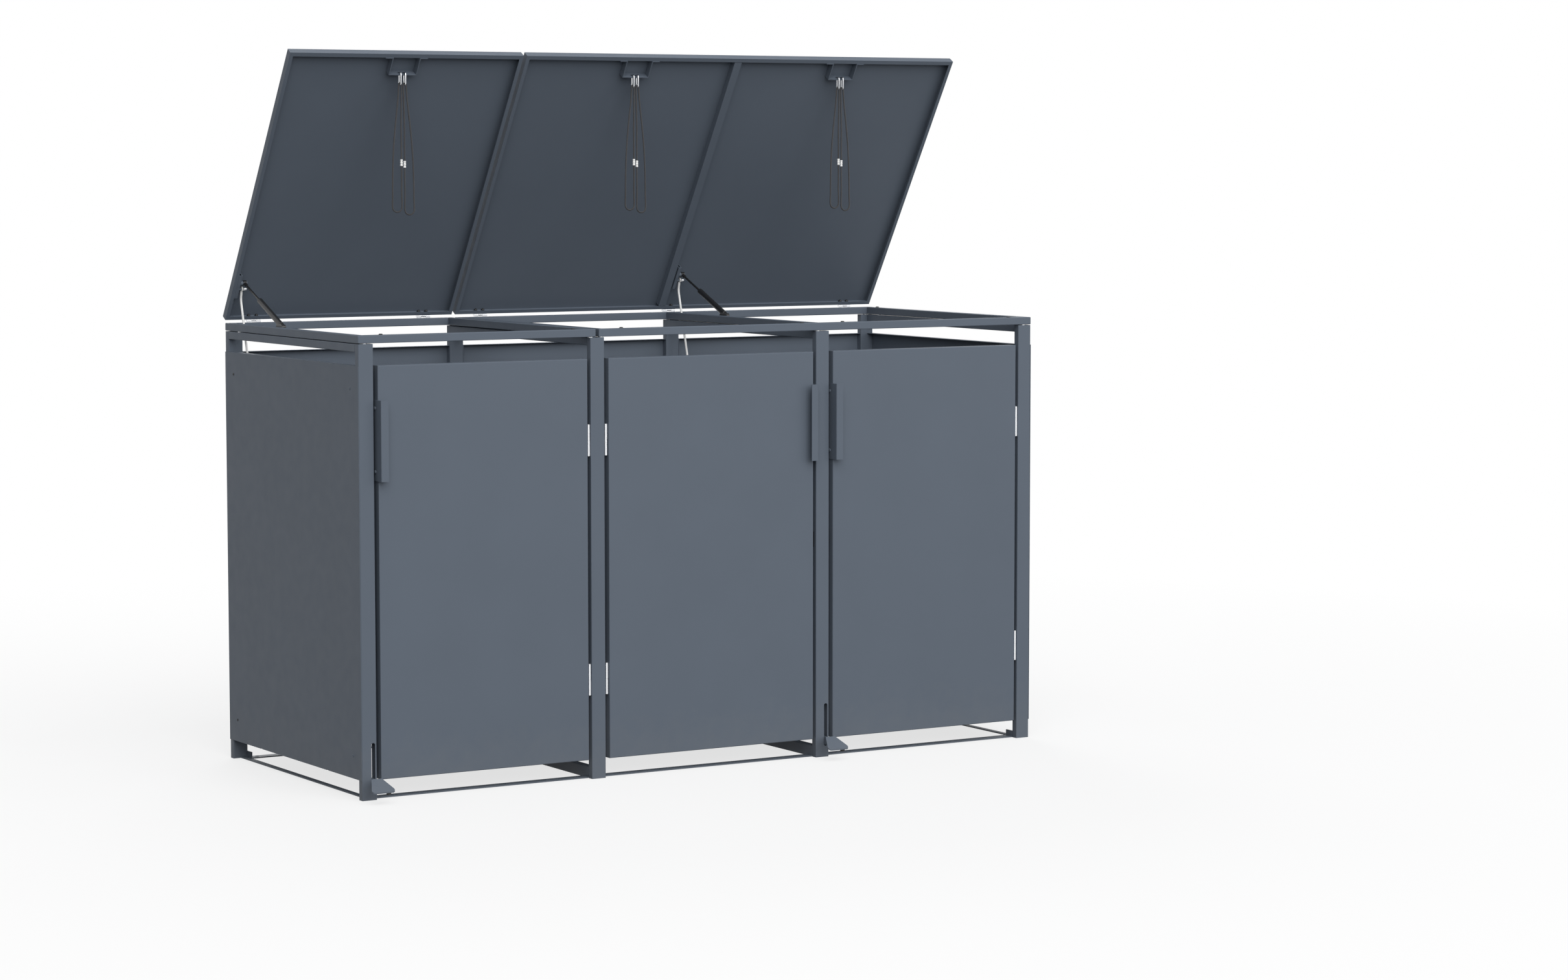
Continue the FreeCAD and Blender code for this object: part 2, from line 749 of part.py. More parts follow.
channel_left = 10.2
channel_wide = 9
channel_near = 672
channel_long = 70
channel_deep = fold - skin
channel_thick = 2
strut_middle = 31.5
strut_stud = (698.0, 1158.8)
rod_middle = 27
rod_pin = (715.3, 1156.1)
stud_radius = 4
pin_radius = 3
eye_radius = 7
stud_long = 18.3
shoulder_radius = 6
shoulder_long = 7.2
washer_radius = 5.5
washer_thick = 1.5
pin_long = 20.8
nut_radius = 4.2
nut_start = 12.3
nut_long = 6.5


def lever_bracket(shift):
    """A channel under the lid with the studs of the gas strut and of the push rod in its side."""
    left = shift + channel_left
    outer = block(left, channel_near, lid_low, channel_wide, channel_long, channel_deep)
    hollow = block(
        left + channel_thick, channel_near, lid_low + channel_thick,
        channel_wide - 2 * channel_thick, channel_long, channel_deep - channel_thick,
    )
    start = left + channel_wide
    stud = rod("x", start, *strut_stud, stud_radius, stud_long)
    shoulder = rod("x", start, *strut_stud, shoulder_radius, shoulder_long)
    washer = rod("x", start + stud_long - 1, *strut_stud, washer_radius, washer_thick)
    pin = rod("x", start, *rod_pin, pin_radius, pin_long)
    nut = rod("x", start + nut_start, *rod_pin, nut_radius, nut_long)
    return fuse(cut(outer, hollow), stud, shoulder, washer, pin, nut)


# Strap brackets with two holes each

strap_base = driving("strapbase")
strap_foot = driving("strapfoot")
strap_wide = driving("strapwide")
strap_thick = driving("strapthick")
strap_reach = driving("strapreach")
ring_spread = driving("ringspread")
strap_low = lid_top - skin - strap_wide
hole_radius = 4.5


def strap_bracket(middle):
    """A hat-shaped strip on the front return, with two holes for the snap hooks."""
    base_near = return_face + strap_reach - strap_thick
    base = block(middle - strap_base / 2, base_near, strap_low, strap_base, strap_thick, strap_wide)
    pieces = [base]
    holes = []
    for side in (-1, 1):
        leg_left = middle + side * (strap_base - strap_thick) / 2 - strap_thick / 2
        foot_left = leg_left - strap_foot if side < 0 else leg_left
        foot_wide = strap_foot + strap_thick
        hole_middle = middle + side * ring_spread
        pieces.append(block(leg_left, return_face, strap_low, strap_thick, strap_reach, strap_wide))
        pieces.append(block(foot_left, return_face, strap_low, foot_wide, strap_thick, strap_wide))
        holes.append(rod("y", hole_middle, base_near, strap_low + strap_wide / 2, hole_radius, strap_thick))
    return cut(fuse(*pieces), *holes)


strap_middles = (327, 1011, 1655)
hinge_middles = ((81, 577), (749, 1340, 1923))
rib_left, rib_wide, rib_deep = 1304, 22, 18

lid_node("lid_single", lid_tray(0 * width, single_wide))
lid_node("lid_double", lid_tray(double_left, width))
rib_start = return_face + skin
rib_long = depth - lip - 1 - rib_start
rib = block(rib_left, rib_start, lid_top - skin - rib_deep, rib_wide, rib_long, rib_deep)
rib_hollow = block(
    rib_left + skin, rib_start, lid_top - rib_deep, rib_wide - 2 * skin, rib_long, rib_deep - skin)
lid_node("lid_double_rib", cut(rib, rib_hollow))

lid_fittings = (
    ("lid_single", mechanism_shift[0], hinge_middles[0], strap_middles[:1]),
    ("lid_double", mechanism_shift[1], hinge_middles[1], strap_middles[1:]),
)
for lid, shift, middles, straps in lid_fittings:
    fasteners = [piece for middle in middles for piece in hinge_fasteners(middle)]
    lid_node(f"{lid}_hinges", *(lid_leaf(middle) for middle in middles), *fasteners)
    lid_node(f"{lid}_lever_bracket", lever_bracket(shift))
    lid_node(f"{lid}_strap_brackets", *(strap_bracket(middle) for middle in straps))

all_hinge_middles = [middle for middles in hinge_middles for middle in middles]
frame_screws = [
    dome(middle + spread, depth + leaf_thick, frame_low + frame_tube / 2, *hinge_head, FACING["back"])
    for middle in all_hinge_middles
    for spread in (-hinge_screw_spread, hinge_screw_spread)
]
node("lid_hinge_frame_leaves", *(frame_leaf(middle) for middle in all_hinge_middles), *frame_screws)

buffer_places = [(66.5, 12), (602, 12), (742, 12), (1283, 12), (1409, 12), (1940, 12), (1996, 750)]
buffer_size = (4.5, 2.6)
node(
    "lid_buffers",
    *(dome(x, y, frame_low + frame_tube, *buffer_size, FACING["up"]) for x, y in buffer_places),
)

# Gas struts, drawn along Y from their foot on the top frame and then tilted

strut_foot = (513, 1149)
strut_tilt = 23.67
strut_span = 265.04
tube_radius = 7.5
tube_start = 12
tube_end = 159
chamber_start = 16
chamber_end = 152
chamber_radius = 6
piston_start = 99
piston_long = 8
piston_play = 0.1
rod_radius = 3
neck_radius = 4.5
neck_long = 10
rim_round = 1.5
tube_eye_wide = 10
foot_stud_long = 3.2
rod_eye_wide = 9.4
bracket_high = 26
bracket_long = 40
bracket_thick = 3
bracket_round = 10


def is_rim(edge):
    """The rims of the cylinder, and not its seam."""
    return edge.Closed


def along_strut(label, shift, *pieces):
    item = node(label, *pieces)
    place(item, HOME[0] + shift + strut_middle, HOME[1] + strut_foot[0], strut_foot[1])
    item.Placement = Placement(item.Placement.Base, Rotation(Vector(1, 0, 0), strut_tilt))


def strut_tube(number, shift):
    """The cylinder with its end eye and stud at the foot and a guide at its mouth."""
    eye = rod("x", -tube_eye_wide / 2, 0, 0, eye_radius, tube_eye_wide)
    stud = rod("x", -tube_eye_wide / 2 - foot_stud_long, 0, 0, stud_radius, foot_stud_long + past)
    neck = rod("y", 0, tube_start - neck_long, 0, neck_radius, neck_long)
    cylinder = rod("y", 0, tube_start, 0, tube_radius, tube_end - tube_start)
    barrel = rounded(cylinder, rim_round, is_rim)
    chamber = rod("y", 0, chamber_start, 0, chamber_radius, chamber_end - chamber_start)
    mouth_long = tube_end - chamber_end + 2 * past
    mouth = rod("y", 0, chamber_end - past, 0, rod_radius + running, mouth_long)
    along_strut(f"strut_tube_{number}", shift, cut(fuse(eye, stud, neck, barrel), chamber, mouth))


def strut_rod(number, shift):
    """The rod with its piston inside the cylinder and its eye on the lid's stud."""
    piston = rod("y", 0, piston_start, 0, chamber_radius - piston_play, piston_long)
    shaft = rod("y", 0, piston_start, 0, rod_radius, strut_span - piston_start - eye_radius)
    neck = rod("y", 0, strut_span - 2 * eye_radius, 0, neck_radius, neck_long)
    eye = rod("x", -rod_eye_wide / 2, strut_span, 0, eye_radius, rod_eye_wide)
    bore = rod("x", -rod_eye_wide / 2, strut_span, 0, stud_radius + running, rod_eye_wide)
    along_strut(f"strut_rod_{number}", shift, cut(fuse(piston, shaft, neck, eye), bore))


def flat_polygon(x, thick, corners):
    """A plate cut to an outline given as Y and Z, its left face at x."""
    points = [Vector(value_of(x), y, z) for y, z in corners]
    face = Part.Face(Part.makePolygon(points + points[:1]))
    item = doc.addObject("Part::Feature", "Outline")
    item.Shape = face.extrude(Vector(value_of(thick), 0, 0))
    return item


for number, shift in enumerate(mechanism_shift, start=1):
    strut_tube(number, shift)
    strut_rod(number, shift)
bracket_low = frame_low + 2


def strut_frame_bracket(shift):
    """A plate on the side of a top frame tube, rounded above it, that holds a strut's foot."""
    plate = block(
        shift + frame_tube, strut_foot[0] - bracket_long / 2, bracket_low,
        bracket_thick, bracket_long, bracket_high,
    )
    return rounded(plate, bracket_round, edges_along_x(bracket_low + bracket_high))


node("strut_frame_brackets", *(strut_frame_bracket(shift) for shift in mechanism_shift))

# Push rods, along one smooth path with a bend near the top

rod_foot = (477.0, 130.0)
rod_bend = (769.4, 1212.2)
rod_bend_radius = 40
open_pin = (762.63, 1239.29)
flat_thick = 3
flat_half = 6
flat_long = 34
flat_back = 4
shaft_start = 27


def tangent_path(points, radii):
    """Straight runs joined by tangent arcs."""
    edges = []
    start = points[0]
    for before, corner, after, radius in zip(points, points[1:], points[2:], radii):
        to_before = (before - corner).normalize()
        to_after = (after - corner).normalize()
        half_turn = (math.pi - to_before.getAngle(to_after)) / 2
        setback = radius * math.tan(half_turn)
        enter = corner + to_before * setback
        leave = corner + to_after * setback
        inwards = (to_before + to_after).normalize()
        middle = corner + inwards * (radius / math.cos(half_turn) - radius)
        edges.append(Part.LineSegment(start, enter).toShape())
        edges.append(Part.Arc(enter, middle, leave).toShape())
        start = leave
    edges.append(Part.LineSegment(start, points[-1]).toShape())
    return Part.Wire(edges)


def round_pipe(wire, radius, label):
    """A round bar swept along a path, its volume held against section times length."""
    first = wire.Edges[0]
    start = first.valueAt(first.FirstParameter)
    ring = Part.Wire(Part.Circle(start, first.tangentAt(first.FirstParameter), radius).toShape())
    solid = wire.makePipeShell([ring], True, False)
    share = solid.Volume / (math.pi * radius ** 2 * wire.Length)
    print(f"{label}: length {wire.Length:.1f} mm, volume {share:.4f} of section times length")
    if abs(share - 1) > 0.01:
        raise SystemExit(f"{label}: the swept volume is wrong")
    item = doc.addObject("Part::Feature", "Pipe")
    item.Shape = solid
    return item


def push_rod(number, shift):
    """A round rod with a flattened foot beside the lever and a flattened eye on the lid's pin."""
    middle = (shift + rod_middle).value
    lean = math.atan2(rod_bend[0] - rod_foot[0], rod_bend[1] - rod_foot[1])
    run = Vector(0, math.sin(lean), math.cos(lean))
    foot = Vector(middle, *rod_foot)
    bend = Vector(middle, *rod_bend)
    pin = Vector(middle, *open_pin)
    top = pin - (pin - bend).normalize() * (eye_radius - 2)
    wire = tangent_path([foot + run * shaft_start, bend, top], [rod_bend_radius])
    shaft = round_pipe(wire, pin_radius, f"push_rod_{number}")
    tilt = Rotation(Vector(1, 0, 0), -math.degrees(lean))
    flat = block(0, 0, 0, flat_thick, 2 * flat_half, flat_long)
    start = foot - tilt.multVec(Vector(flat_back, flat_half, 0))
    place(flat, start.x, start.y, start.z, tilt)
    end = rod("x", shift + rod_middle - flat_back, *rod_foot, flat_half, flat_thick)
    eye_left = shift + rod_middle - flat_thick / 2
    eye = rod("x", eye_left, *open_pin, eye_radius, flat_thick)
    bore = rod("x", eye_left, *open_pin, pin_radius + running, flat_thick)
    node(f"push_rod_{number}", cut(fuse(shaft, flat, end, eye), bore))


# Pedal levers, drawn pressed down as they are while the lid is open

lever_pivot = (226.0, 82.85)
arm_left = 26.3
arm_thick = driving("armthick")
pedal_thick = driving("pedalthick")
hub_radius = 9
side_play = 1
pedal_middle = post_wide / 2
pedal_back = -40.0
pedal_front = -84.0
pedal_top = 59.5
pedal_slope = math.radians(31)
pedal_back_half = 14.2
pedal_flare = 0.46
pedal_corner = 7
bolt_radius = 6
bolt_high = 4
stop_place = (-74.0, 24.0)
stop_radius = 6


def pedal_level(y, below=0):
    """Height of the foot plate's upper face, or of a plane square below it."""
    return pedal_top + (y - pedal_back) * math.tan(pedal_slope) - below / math.cos(pedal_slope)


def pedal_plate(shift, thick):
    """A foot plate that widens from the post to its rounded front and slopes down to it."""
    front_half = pedal_back_half + pedal_flare * (pedal_back - pedal_front)
    middle = (shift + pedal_middle).value
    outline = [
        Vector(middle + side, y, 0)
        for side, y in (
            (-pedal_back_half, pedal_back), (-front_half, pedal_front),
            (front_half, pedal_front), (pedal_back_half, pedal_back),
        )
    ]
    prism = doc.addObject("Part::Feature", "Outline")
    prism.Shape = Part.Face(Part.makePolygon(outline + outline[:1])).extrude(Vector(0, 0, 2 * pedal_top))
    front_corners = rounded(
        prism, pedal_corner, lambda edge: runs_along("z")(edge) and lies_at("y", pedal_front)(edge))
    slab = flat_polygon(middle - front_half, 2 * front_half, [
        (pedal_back, pedal_level(pedal_back)), (pedal_front, pedal_level(pedal_front)),
        (pedal_front, pedal_level(pedal_front, thick)), (pedal_back, pedal_level(pedal_back, thick)),
    ])
    return common(front_corners, slab)


def lever_arm(shift):
    """A flat bar from the rib under the foot plate, through the slot, to the push rod."""
    slope = math.atan2(rod_foot[1] - lever_pivot[1], rod_foot[0] - lever_pivot[0])
    along = (math.cos(slope), math.sin(slope))
    up = (-along[1], along[0])

    def spot(distance, height):
        return (lever_pivot[0] + distance * along[0] + height * up[0],
                lever_pivot[1] + distance * along[1] + height * up[1])

    thick = pedal_thick.value
    rib_end = pedal_front + 10
    rib_start = pedal_back - 2
    corners = [
        spot(-222, -9.2), spot(-30, -11), spot(20, -13), spot(252, -9), spot(264, -4), spot(264, 4),
        spot(252, 9), spot(20, 13), spot(-30, 12), spot(-212, 12.4), (4, 54),
        (rib_start, pedal_level(rib_start, thick)),
        (rib_end, pedal_level(rib_end, thick)), (rib_end + 4, pedal_level(rib_end, thick + 4)), (-30, 34),
    ]
    plate = flat_polygon(shift + arm_left, arm_thick, corners)
    hub_left = shift + arm_left - side_play
    hub_long = arm_thick + 2 * side_play
    hub = rod("x", hub_left, *lever_pivot, hub_radius, hub_long)
    bore = rod("x", hub_left, *lever_pivot, stud_radius + running, hub_long)
    bolt = rod("x", shift + arm_left + arm_thick, *rod_foot, bolt_radius, bolt_high)
    return cut(fuse(plate, hub, bolt, pedal_plate(shift, thick)), bore)


def pedal_stop(shift):
    """A rubber foot under the foot plate, beside the rib, its top cut to the slope."""
    stop_y, stop_low = stop_place
    middle = shift + arm_left + arm_thick + stop_radius
    foot = rod("z", middle, stop_y, stop_low, stop_radius, pedal_top - stop_low)
    thick = pedal_thick.value
    above = flat_polygon(middle - 2 * stop_radius, 4 * stop_radius, [
        (pedal_back, pedal_level(pedal_back, thick)), (pedal_front, pedal_level(pedal_front, thick)),
        (pedal_front, pedal_top + past), (pedal_back, pedal_top + past),
    ])
    return cut(foot, above)


upright_half = 20
upright_over = 22
upright_corner = 12
end_washer = 2
end_play = 0.3
end_nut = 4


def lever_bearing(shift, foot, low):
    """A stub axle on an upright plate, with a collar, an end washer and a nut beside the lever."""
    high = lever_pivot[1] + upright_over - low
    collar_start = foot + strip_thick
    collar_end = shift + arm_left - side_play
    washer_start = shift + arm_left + arm_thick + side_play + end_play
    nut_start = washer_start + end_washer
    plate = block(foot, lever_pivot[0] - upright_half, low, strip_thick, 2 * upright_half, high)
    upright = rounded(plate, upright_corner, edges_along_x(low + high))
    collar = rod("x", collar_start, *lever_pivot, hub_radius - 1, collar_end - collar_start)
    axle = rod("x", collar_start, *lever_pivot, stud_radius, nut_start + end_nut - collar_start)
    washer = rod("x", washer_start, *lever_pivot, hub_radius - 1, end_washer)
    nut = rod("x", nut_start, *lever_pivot, bolt_radius, end_nut)
    return fuse(upright, collar, axle, washer, nut)


for number, shift in enumerate(mechanism_shift, start=1):
    push_rod(number, shift)
    node(f"pedal_lever_{number}", lever_arm(shift))
    node(f"pedal_stop_{number}", pedal_stop(shift))

panel_clearance = 4
node(
    "lever_bearings",
    lever_bearing(mechanism_shift[0], 0 * width, panel_low + panel_clearance),
    lever_bearing(mechanism_shift[1], cross_lefts[1], cross_high),
)

# Snap hooks and elastic cords: each pair hangs plumb from its bracket on the open lid

ring_radius = driving("ringradius").value
ring_wire = driving("ringwire").value
ring_straight = driving("ringlong").value - 2 * (ring_radius + ring_wire)
cord_radius = driving("cordradius").value
ferrule_long = driving("ferrulelong").value
ring_above = 2.8
ring_high = strap_low + ring_above


def opened(y, z):
    """A point of the closed lid, given as Y and Z, where the open lid carries it."""
    turn = Rotation(Vector(1, 0, 0), -lid_open)
    centre = Vector(0, lid_axis[0].value, lid_axis[1].value)
    return turn.multVec(Vector(0, y, z) - centre) + centre


ring_middle = opened((return_face + strap_reach - strap_thick / 2).value, ring_high.value)
hook_bottom = ring_middle.z - ring_straight - ring_radius

# Route of the left cord of a pair, from the top of its ferrule round to its foot:
# X from the middle of the bracket, Y from the hooks' plane, Z from the bottom wire of the hook
LEFT_CORD = [
    (-4.6, 0.0, -190), (-4.1, 0.6, -151), (-4.9, 0.2, -106), (-3.9, -0.5, -61), (-3.2, 0.0, -28),
    (-2.5, 0.2, -10.8), (-2.6, 0.0, 4.3), (-10.4, 0.0, 4.3),
    (-10.9, -0.2, -10.8), (-13.2, 0.0, -40), (-19.3, 0.7, -91), (-25.4, 0.4, -147), (-29.2, -0.5, -203),
    (-30.6, -0.8, -254), (-30.3, -0.3, -285), (-30.9, 0.2, -301),
    (-30.8, 0.3, -316), (-25.7, 0.3, -323), (-17.5, 0.1, -325.7), (-9.2, -0.1, -323), (-4.2, -0.2, -316),
    (-4.0, -0.1, -300.5), (-4.9, 0.4, -270), (-4.1, 0.4, -239), (-4.6, 0.0, -207),
]


def mirrored(route, drop):
    """The other cord of the pair, a little longer below the hook."""
    return [(-x, -y, z - drop * max(0, -z) / 330) for x, y, z in route]


CORD_ROUTES = (LEFT_CORD, mirrored(LEFT_CORD, 7))


def corner_radii(points):
    """As large an arc at each corner as its two runs allow."""
    radii = []
    for before, corner, after in zip(points, points[1:], points[2:]):
        shorter = min((before - corner).Length, (after - corner).Length)
        turn = math.pi - (before - corner).getAngle(after - corner)
        radii.append(0.45 * shorter / math.tan(turn / 2))
    return radii


def snap_hook(x):
    """An oval ring of round wire that stands in the plane of Y and Z."""
    top = Vector(x, ring_middle.y, ring_middle.z)
    low = top - Vector(0, 0, ring_straight)
    side = Vector(0, ring_radius, 0)
    over = Vector(0, 0, ring_radius)
    path = Part.Wire([
        Part.Arc(top - side, top + over, top + side).toShape(),
        Part.LineSegment(top + side, low + side).toShape(),
        Part.Arc(low + side, low - over, low - side).toShape(),
        Part.LineSegment(low - side, top - side).toShape(),
    ])
    ring = Part.Wire(Part.Circle(top - side, Vector(0, 0, 1), ring_wire).toShape())
    item = doc.addObject("Part::Feature", "Hook")
    item.Shape = path.makePipeShell([ring], True, False)
    return item


for number, middle in enumerate(strap_middles, start=1):
    cords = []
    fittings = []
    for side, route in zip((-1, 1), CORD_ROUTES):
        points = [Vector(middle + x, ring_middle.y + y, hook_bottom + z) for x, y, z in route]
        radii = corner_radii(points)
        label = f"cords_{number} side {side}"
        if number == 1:
            print(label, "bend radii:", ", ".join(f"{radius:.0f}" for radius in radii))
        cords.append(round_pipe(tangent_path(points, radii), cord_radius, label))
        end = points[-1]
        start = points[0]
        ferrule = doc.addObject("Part::Cylinder", "Ferrule")
        bind(ferrule, Radius=driving("ferruleradius"))
        ferrule.Height = (start - end).Length
        place(ferrule, end.x, end.y, end.z, Rotation(Vector(0, 0, 1), start - end))
        fittings += [snap_hook(middle + side * ring_spread.value), ferrule]
    node(f"cords_{number}", *cords)
    node(f"cord_fittings_{number}", *fittings)

# Every object is tested before any file is written

doc.recompute()
os.makedirs("parts", exist_ok=True)
for item in doc.Objects:
    if {"Invalid", "Error"} & set(item.State):
        raise SystemExit(f"{item.Name} of {item.Label} failed: {item.State}")
if len(nodes) > 60:
    raise SystemExit(f"too many sub-parts: {len(nodes)}")
for item in nodes:
    if item.Shape.isNull() or not item.Shape.isValid():
        raise SystemExit(f"{item.Label} has no valid shape")
for item in nodes:
    item.Shape.exportStep(os.path.join("parts", item.Label + ".step"))
print(len(nodes), "sub-parts,", sum(len(item.Shape.Solids) for item in nodes), "solids")
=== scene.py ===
"""Looks of a triple wheelie bin store: powder-coated sheet, zinc fittings and elastic cords."""
import json
import math

import bpy
from mathutils import Euler, Matrix, Vector


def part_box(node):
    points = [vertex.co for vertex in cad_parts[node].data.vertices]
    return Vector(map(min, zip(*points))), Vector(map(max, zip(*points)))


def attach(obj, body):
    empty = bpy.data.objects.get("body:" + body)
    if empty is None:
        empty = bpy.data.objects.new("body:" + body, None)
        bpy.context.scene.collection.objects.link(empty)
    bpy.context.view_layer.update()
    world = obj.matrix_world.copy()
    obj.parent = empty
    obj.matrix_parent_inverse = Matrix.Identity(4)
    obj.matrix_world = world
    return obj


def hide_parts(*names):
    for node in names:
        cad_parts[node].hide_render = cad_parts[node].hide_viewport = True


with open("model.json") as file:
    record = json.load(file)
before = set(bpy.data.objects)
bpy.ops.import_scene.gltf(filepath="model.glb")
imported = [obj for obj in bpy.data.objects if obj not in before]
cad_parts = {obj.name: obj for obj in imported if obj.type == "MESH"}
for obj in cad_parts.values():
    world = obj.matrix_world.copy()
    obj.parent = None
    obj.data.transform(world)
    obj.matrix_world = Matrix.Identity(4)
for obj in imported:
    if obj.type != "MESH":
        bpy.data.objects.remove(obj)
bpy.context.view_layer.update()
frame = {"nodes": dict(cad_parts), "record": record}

nodes = frame["nodes"]
bpy.ops.object.select_all(action="DESELECT")

# Places are taken from the store's corner, in millimetres, and moved to the middle of its footprint

FOOTPRINT = (2006, 810)
MM = 0.001
LEFT_AND_RIGHT = (-1, 1)


def at(x, y, z):
    """A point given in millimetres from the front left foot of the store."""
    return Vector(((x - FOOTPRINT[0] / 2) * MM, (y - FOOTPRINT[1] / 2) * MM, z * MM))


# Shader nodes. Nearly all of a noise lies in its middle range

MID_NOISE = (0.3, 0.7)
WHOLE = (0.0, 1.0)


def set_or_link(tree, socket, value):
    """Give a socket a plain value, or link another node's output to it."""
    if isinstance(value, bpy.types.NodeSocket):
        tree.links.new(value, socket)
    else:
        socket.default_value = value


def noise(tree, vector, scale, detail=2.0, roughness=0.5):
    texture = tree.nodes.new("ShaderNodeTexNoise")
    tree.links.new(vector, texture.inputs["Vector"])
    set_or_link(tree, texture.inputs["Scale"], scale)
    texture.inputs["Detail"].default_value = detail
    texture.inputs["Roughness"].default_value = roughness
    return texture.outputs["Fac"]


def maths(tree, operation, first, second, clamp=False):
    node = tree.nodes.new("ShaderNodeMath")
    node.operation = operation
    node.use_clamp = clamp
    set_or_link(tree, node.inputs[0], first)
    set_or_link(tree, node.inputs[1], second)
    return node.outputs[0]


def spread(tree, value, source, target):
    """Map a value from one range to another, held at both ends."""
    node = tree.nodes.new("ShaderNodeMapRange")
    node.inputs["From Min"].default_value, node.inputs["From Max"].default_value = source
    node.inputs["To Min"].default_value, node.inputs["To Max"].default_value = target
    tree.links.new(value, node.inputs["Value"])
    return node.outputs["Result"]


def mixed(tree, factor, first, second, blend="MIX"):
    """A blend of two colours."""
    node = tree.nodes.new("ShaderNodeMix")
    node.data_type = "RGBA"
    node.blend_type = blend
    factor_socket, first_socket, second_socket = node.inputs[0], node.inputs[6], node.inputs[7]
    set_or_link(tree, factor_socket, factor)
    set_or_link(tree, first_socket, first)
    set_or_link(tree, second_socket, second)
    return node.outputs[2]


def grey(tree, value):
    """A colour whose three channels are one value."""
    node = tree.nodes.new("ShaderNodeCombineColor")
    for socket in node.inputs[:3]:
        tree.links.new(value, socket)
    return node.outputs[0]


def object_place(tree):
    return tree.nodes.new("ShaderNodeTexCoord").outputs["Object"]


def new_group(name, inputs, outputs):
    """An empty shader group with named sockets."""
    group = bpy.data.node_groups.new(name, "ShaderNodeTree")
    for socket, kind, value in inputs:
        made = group.interface.new_socket(name=socket, in_out="INPUT", socket_type=kind)
        made.default_value = value
    for socket, kind in outputs:
        group.interface.new_socket(name=socket, in_out="OUTPUT", socket_type=kind)
    return group, group.nodes.new("NodeGroupInput").outputs, group.nodes.new("NodeGroupOutput").inputs


def powder_ripple_group():
    """The fine ripple of a powder coat: a height, a roughness and a slight change of tone."""
    group, given, made = new_group(
        "Powder ripple",
        [("Ripple size", "NodeSocketFloat", 420.0), ("Base roughness", "NodeSocketFloat", 0.4),
         ("Colour", "NodeSocketColor", (0.1, 0.1, 0.1, 1.0))],
        [("Colour", "NodeSocketColor"), ("Roughness", "NodeSocketFloat"), ("Height", "NodeSocketFloat")],
    )
    place = object_place(group)
    ripple = noise(group, place, given["Ripple size"], detail=1.5)
    broad = noise(group, place, 5.0, detail=3.0)
    tone = spread(group, broad, MID_NOISE, (0.98, 1.02))
    shade = mixed(group, 1.0, given["Colour"], grey(group, tone), "MULTIPLY")
    speckle = noise(group, place, 1500.0, detail=1.0)
    fleck = spread(group, speckle, (0.64, 0.82), (0.0, 0.03))
    flecked = mixed(group, fleck, shade, (0.5, 0.52, 0.55, 1.0))
    uneven = spread(group, noise(group, place, 28.0, detail=4.0), MID_NOISE, (-0.035, 0.035))
    group.links.new(flecked, made["Colour"])
    group.links.new(maths(group, "ADD", given["Base roughness"], uneven), made["Roughness"])
    group.links.new(ripple, made["Height"])
    return group


def ground_splash_group():
    """Dust and rain splash that gather near the ground, as a mask from 0 to 1."""
    group, given, made = new_group(
        "Ground splash",
        [("Reach", "NodeSocketFloat", 0.18), ("Amount", "NodeSocketFloat", 0.3)],
        [("Mask", "NodeSocketFloat")],
    )
    place = object_place(group)
    split = group.nodes.new("ShaderNodeSeparateXYZ")
    group.links.new(place, split.inputs[0])
    patches = noise(group, place, 22.0, detail=5.0, roughness=0.65)
    ragged = spread(group, patches, MID_NOISE, (-0.35, 0.35))
    level = maths(group, "DIVIDE", split.outputs["Z"], given["Reach"])
    depth = maths(group, "SUBTRACT", 1.0, maths(group, "ADD", level, ragged), clamp=True)
    group.links.new(maths(group, "MULTIPLY", depth, given["Amount"]), made["Mask"])
    return group


def zinc_cloud_group():
    """Fine grain and cloudy passivation of bright plated steel."""
    group, given, made = new_group(
        "Zinc cloud",
        [("Colour", "NodeSocketColor", (0.6, 0.6, 0.6, 1.0)), ("Cloud size", "NodeSocketFloat", 160.0),
         ("Base roughness", "NodeSocketFloat", 0.3)],
        [("Colour", "NodeSocketColor"), ("Roughness", "NodeSocketFloat"), ("Height", "NodeSocketFloat")],
    )
    place = object_place(group)
    cloud = noise(group, place, given["Cloud size"], detail=4.0)
    dullness = spread(group, cloud, (0.35, 0.65), (0.0, 0.35))
    uneven = spread(group, cloud, MID_NOISE, (-0.08, 0.1))
    group.links.new(mixed(group, dullness, given["Colour"], (0.52, 0.53, 0.55, 1.0)), made["Colour"])
    group.links.new(maths(group, "ADD", given["Base roughness"], uneven), made["Roughness"])
    group.links.new(noise(group, place, 2200.0), made["Height"])
    return group


POWDER = powder_ripple_group()
SPLASH = ground_splash_group()
ZINC = zinc_cloud_group()


def place_group(tree, group, **values):
    """A group in a material, with values for its inputs."""
    node = tree.nodes.new("ShaderNodeGroup")
    node.node_tree = group
    for name, value in values.items():
        node.inputs[name.replace("_", " ")].default_value = value
    return node.outputs


# Materials

def new_material(name):
    material = bpy.data.materials.new(name)
    material.use_nodes = True
    return material, material.node_tree, material.node_tree.nodes["Principled BSDF"]


def bump(tree, shader, height, strength, distance):
    node = tree.nodes.new("ShaderNodeBump")
    node.inputs["Strength"].default_value = strength
    node.inputs["Distance"].default_value = distance
    tree.links.new(height, node.inputs["Height"])
    tree.links.new(node.outputs["Normal"], shader.inputs["Normal"])


DUST = (0.23, 0.22, 0.2, 1.0)


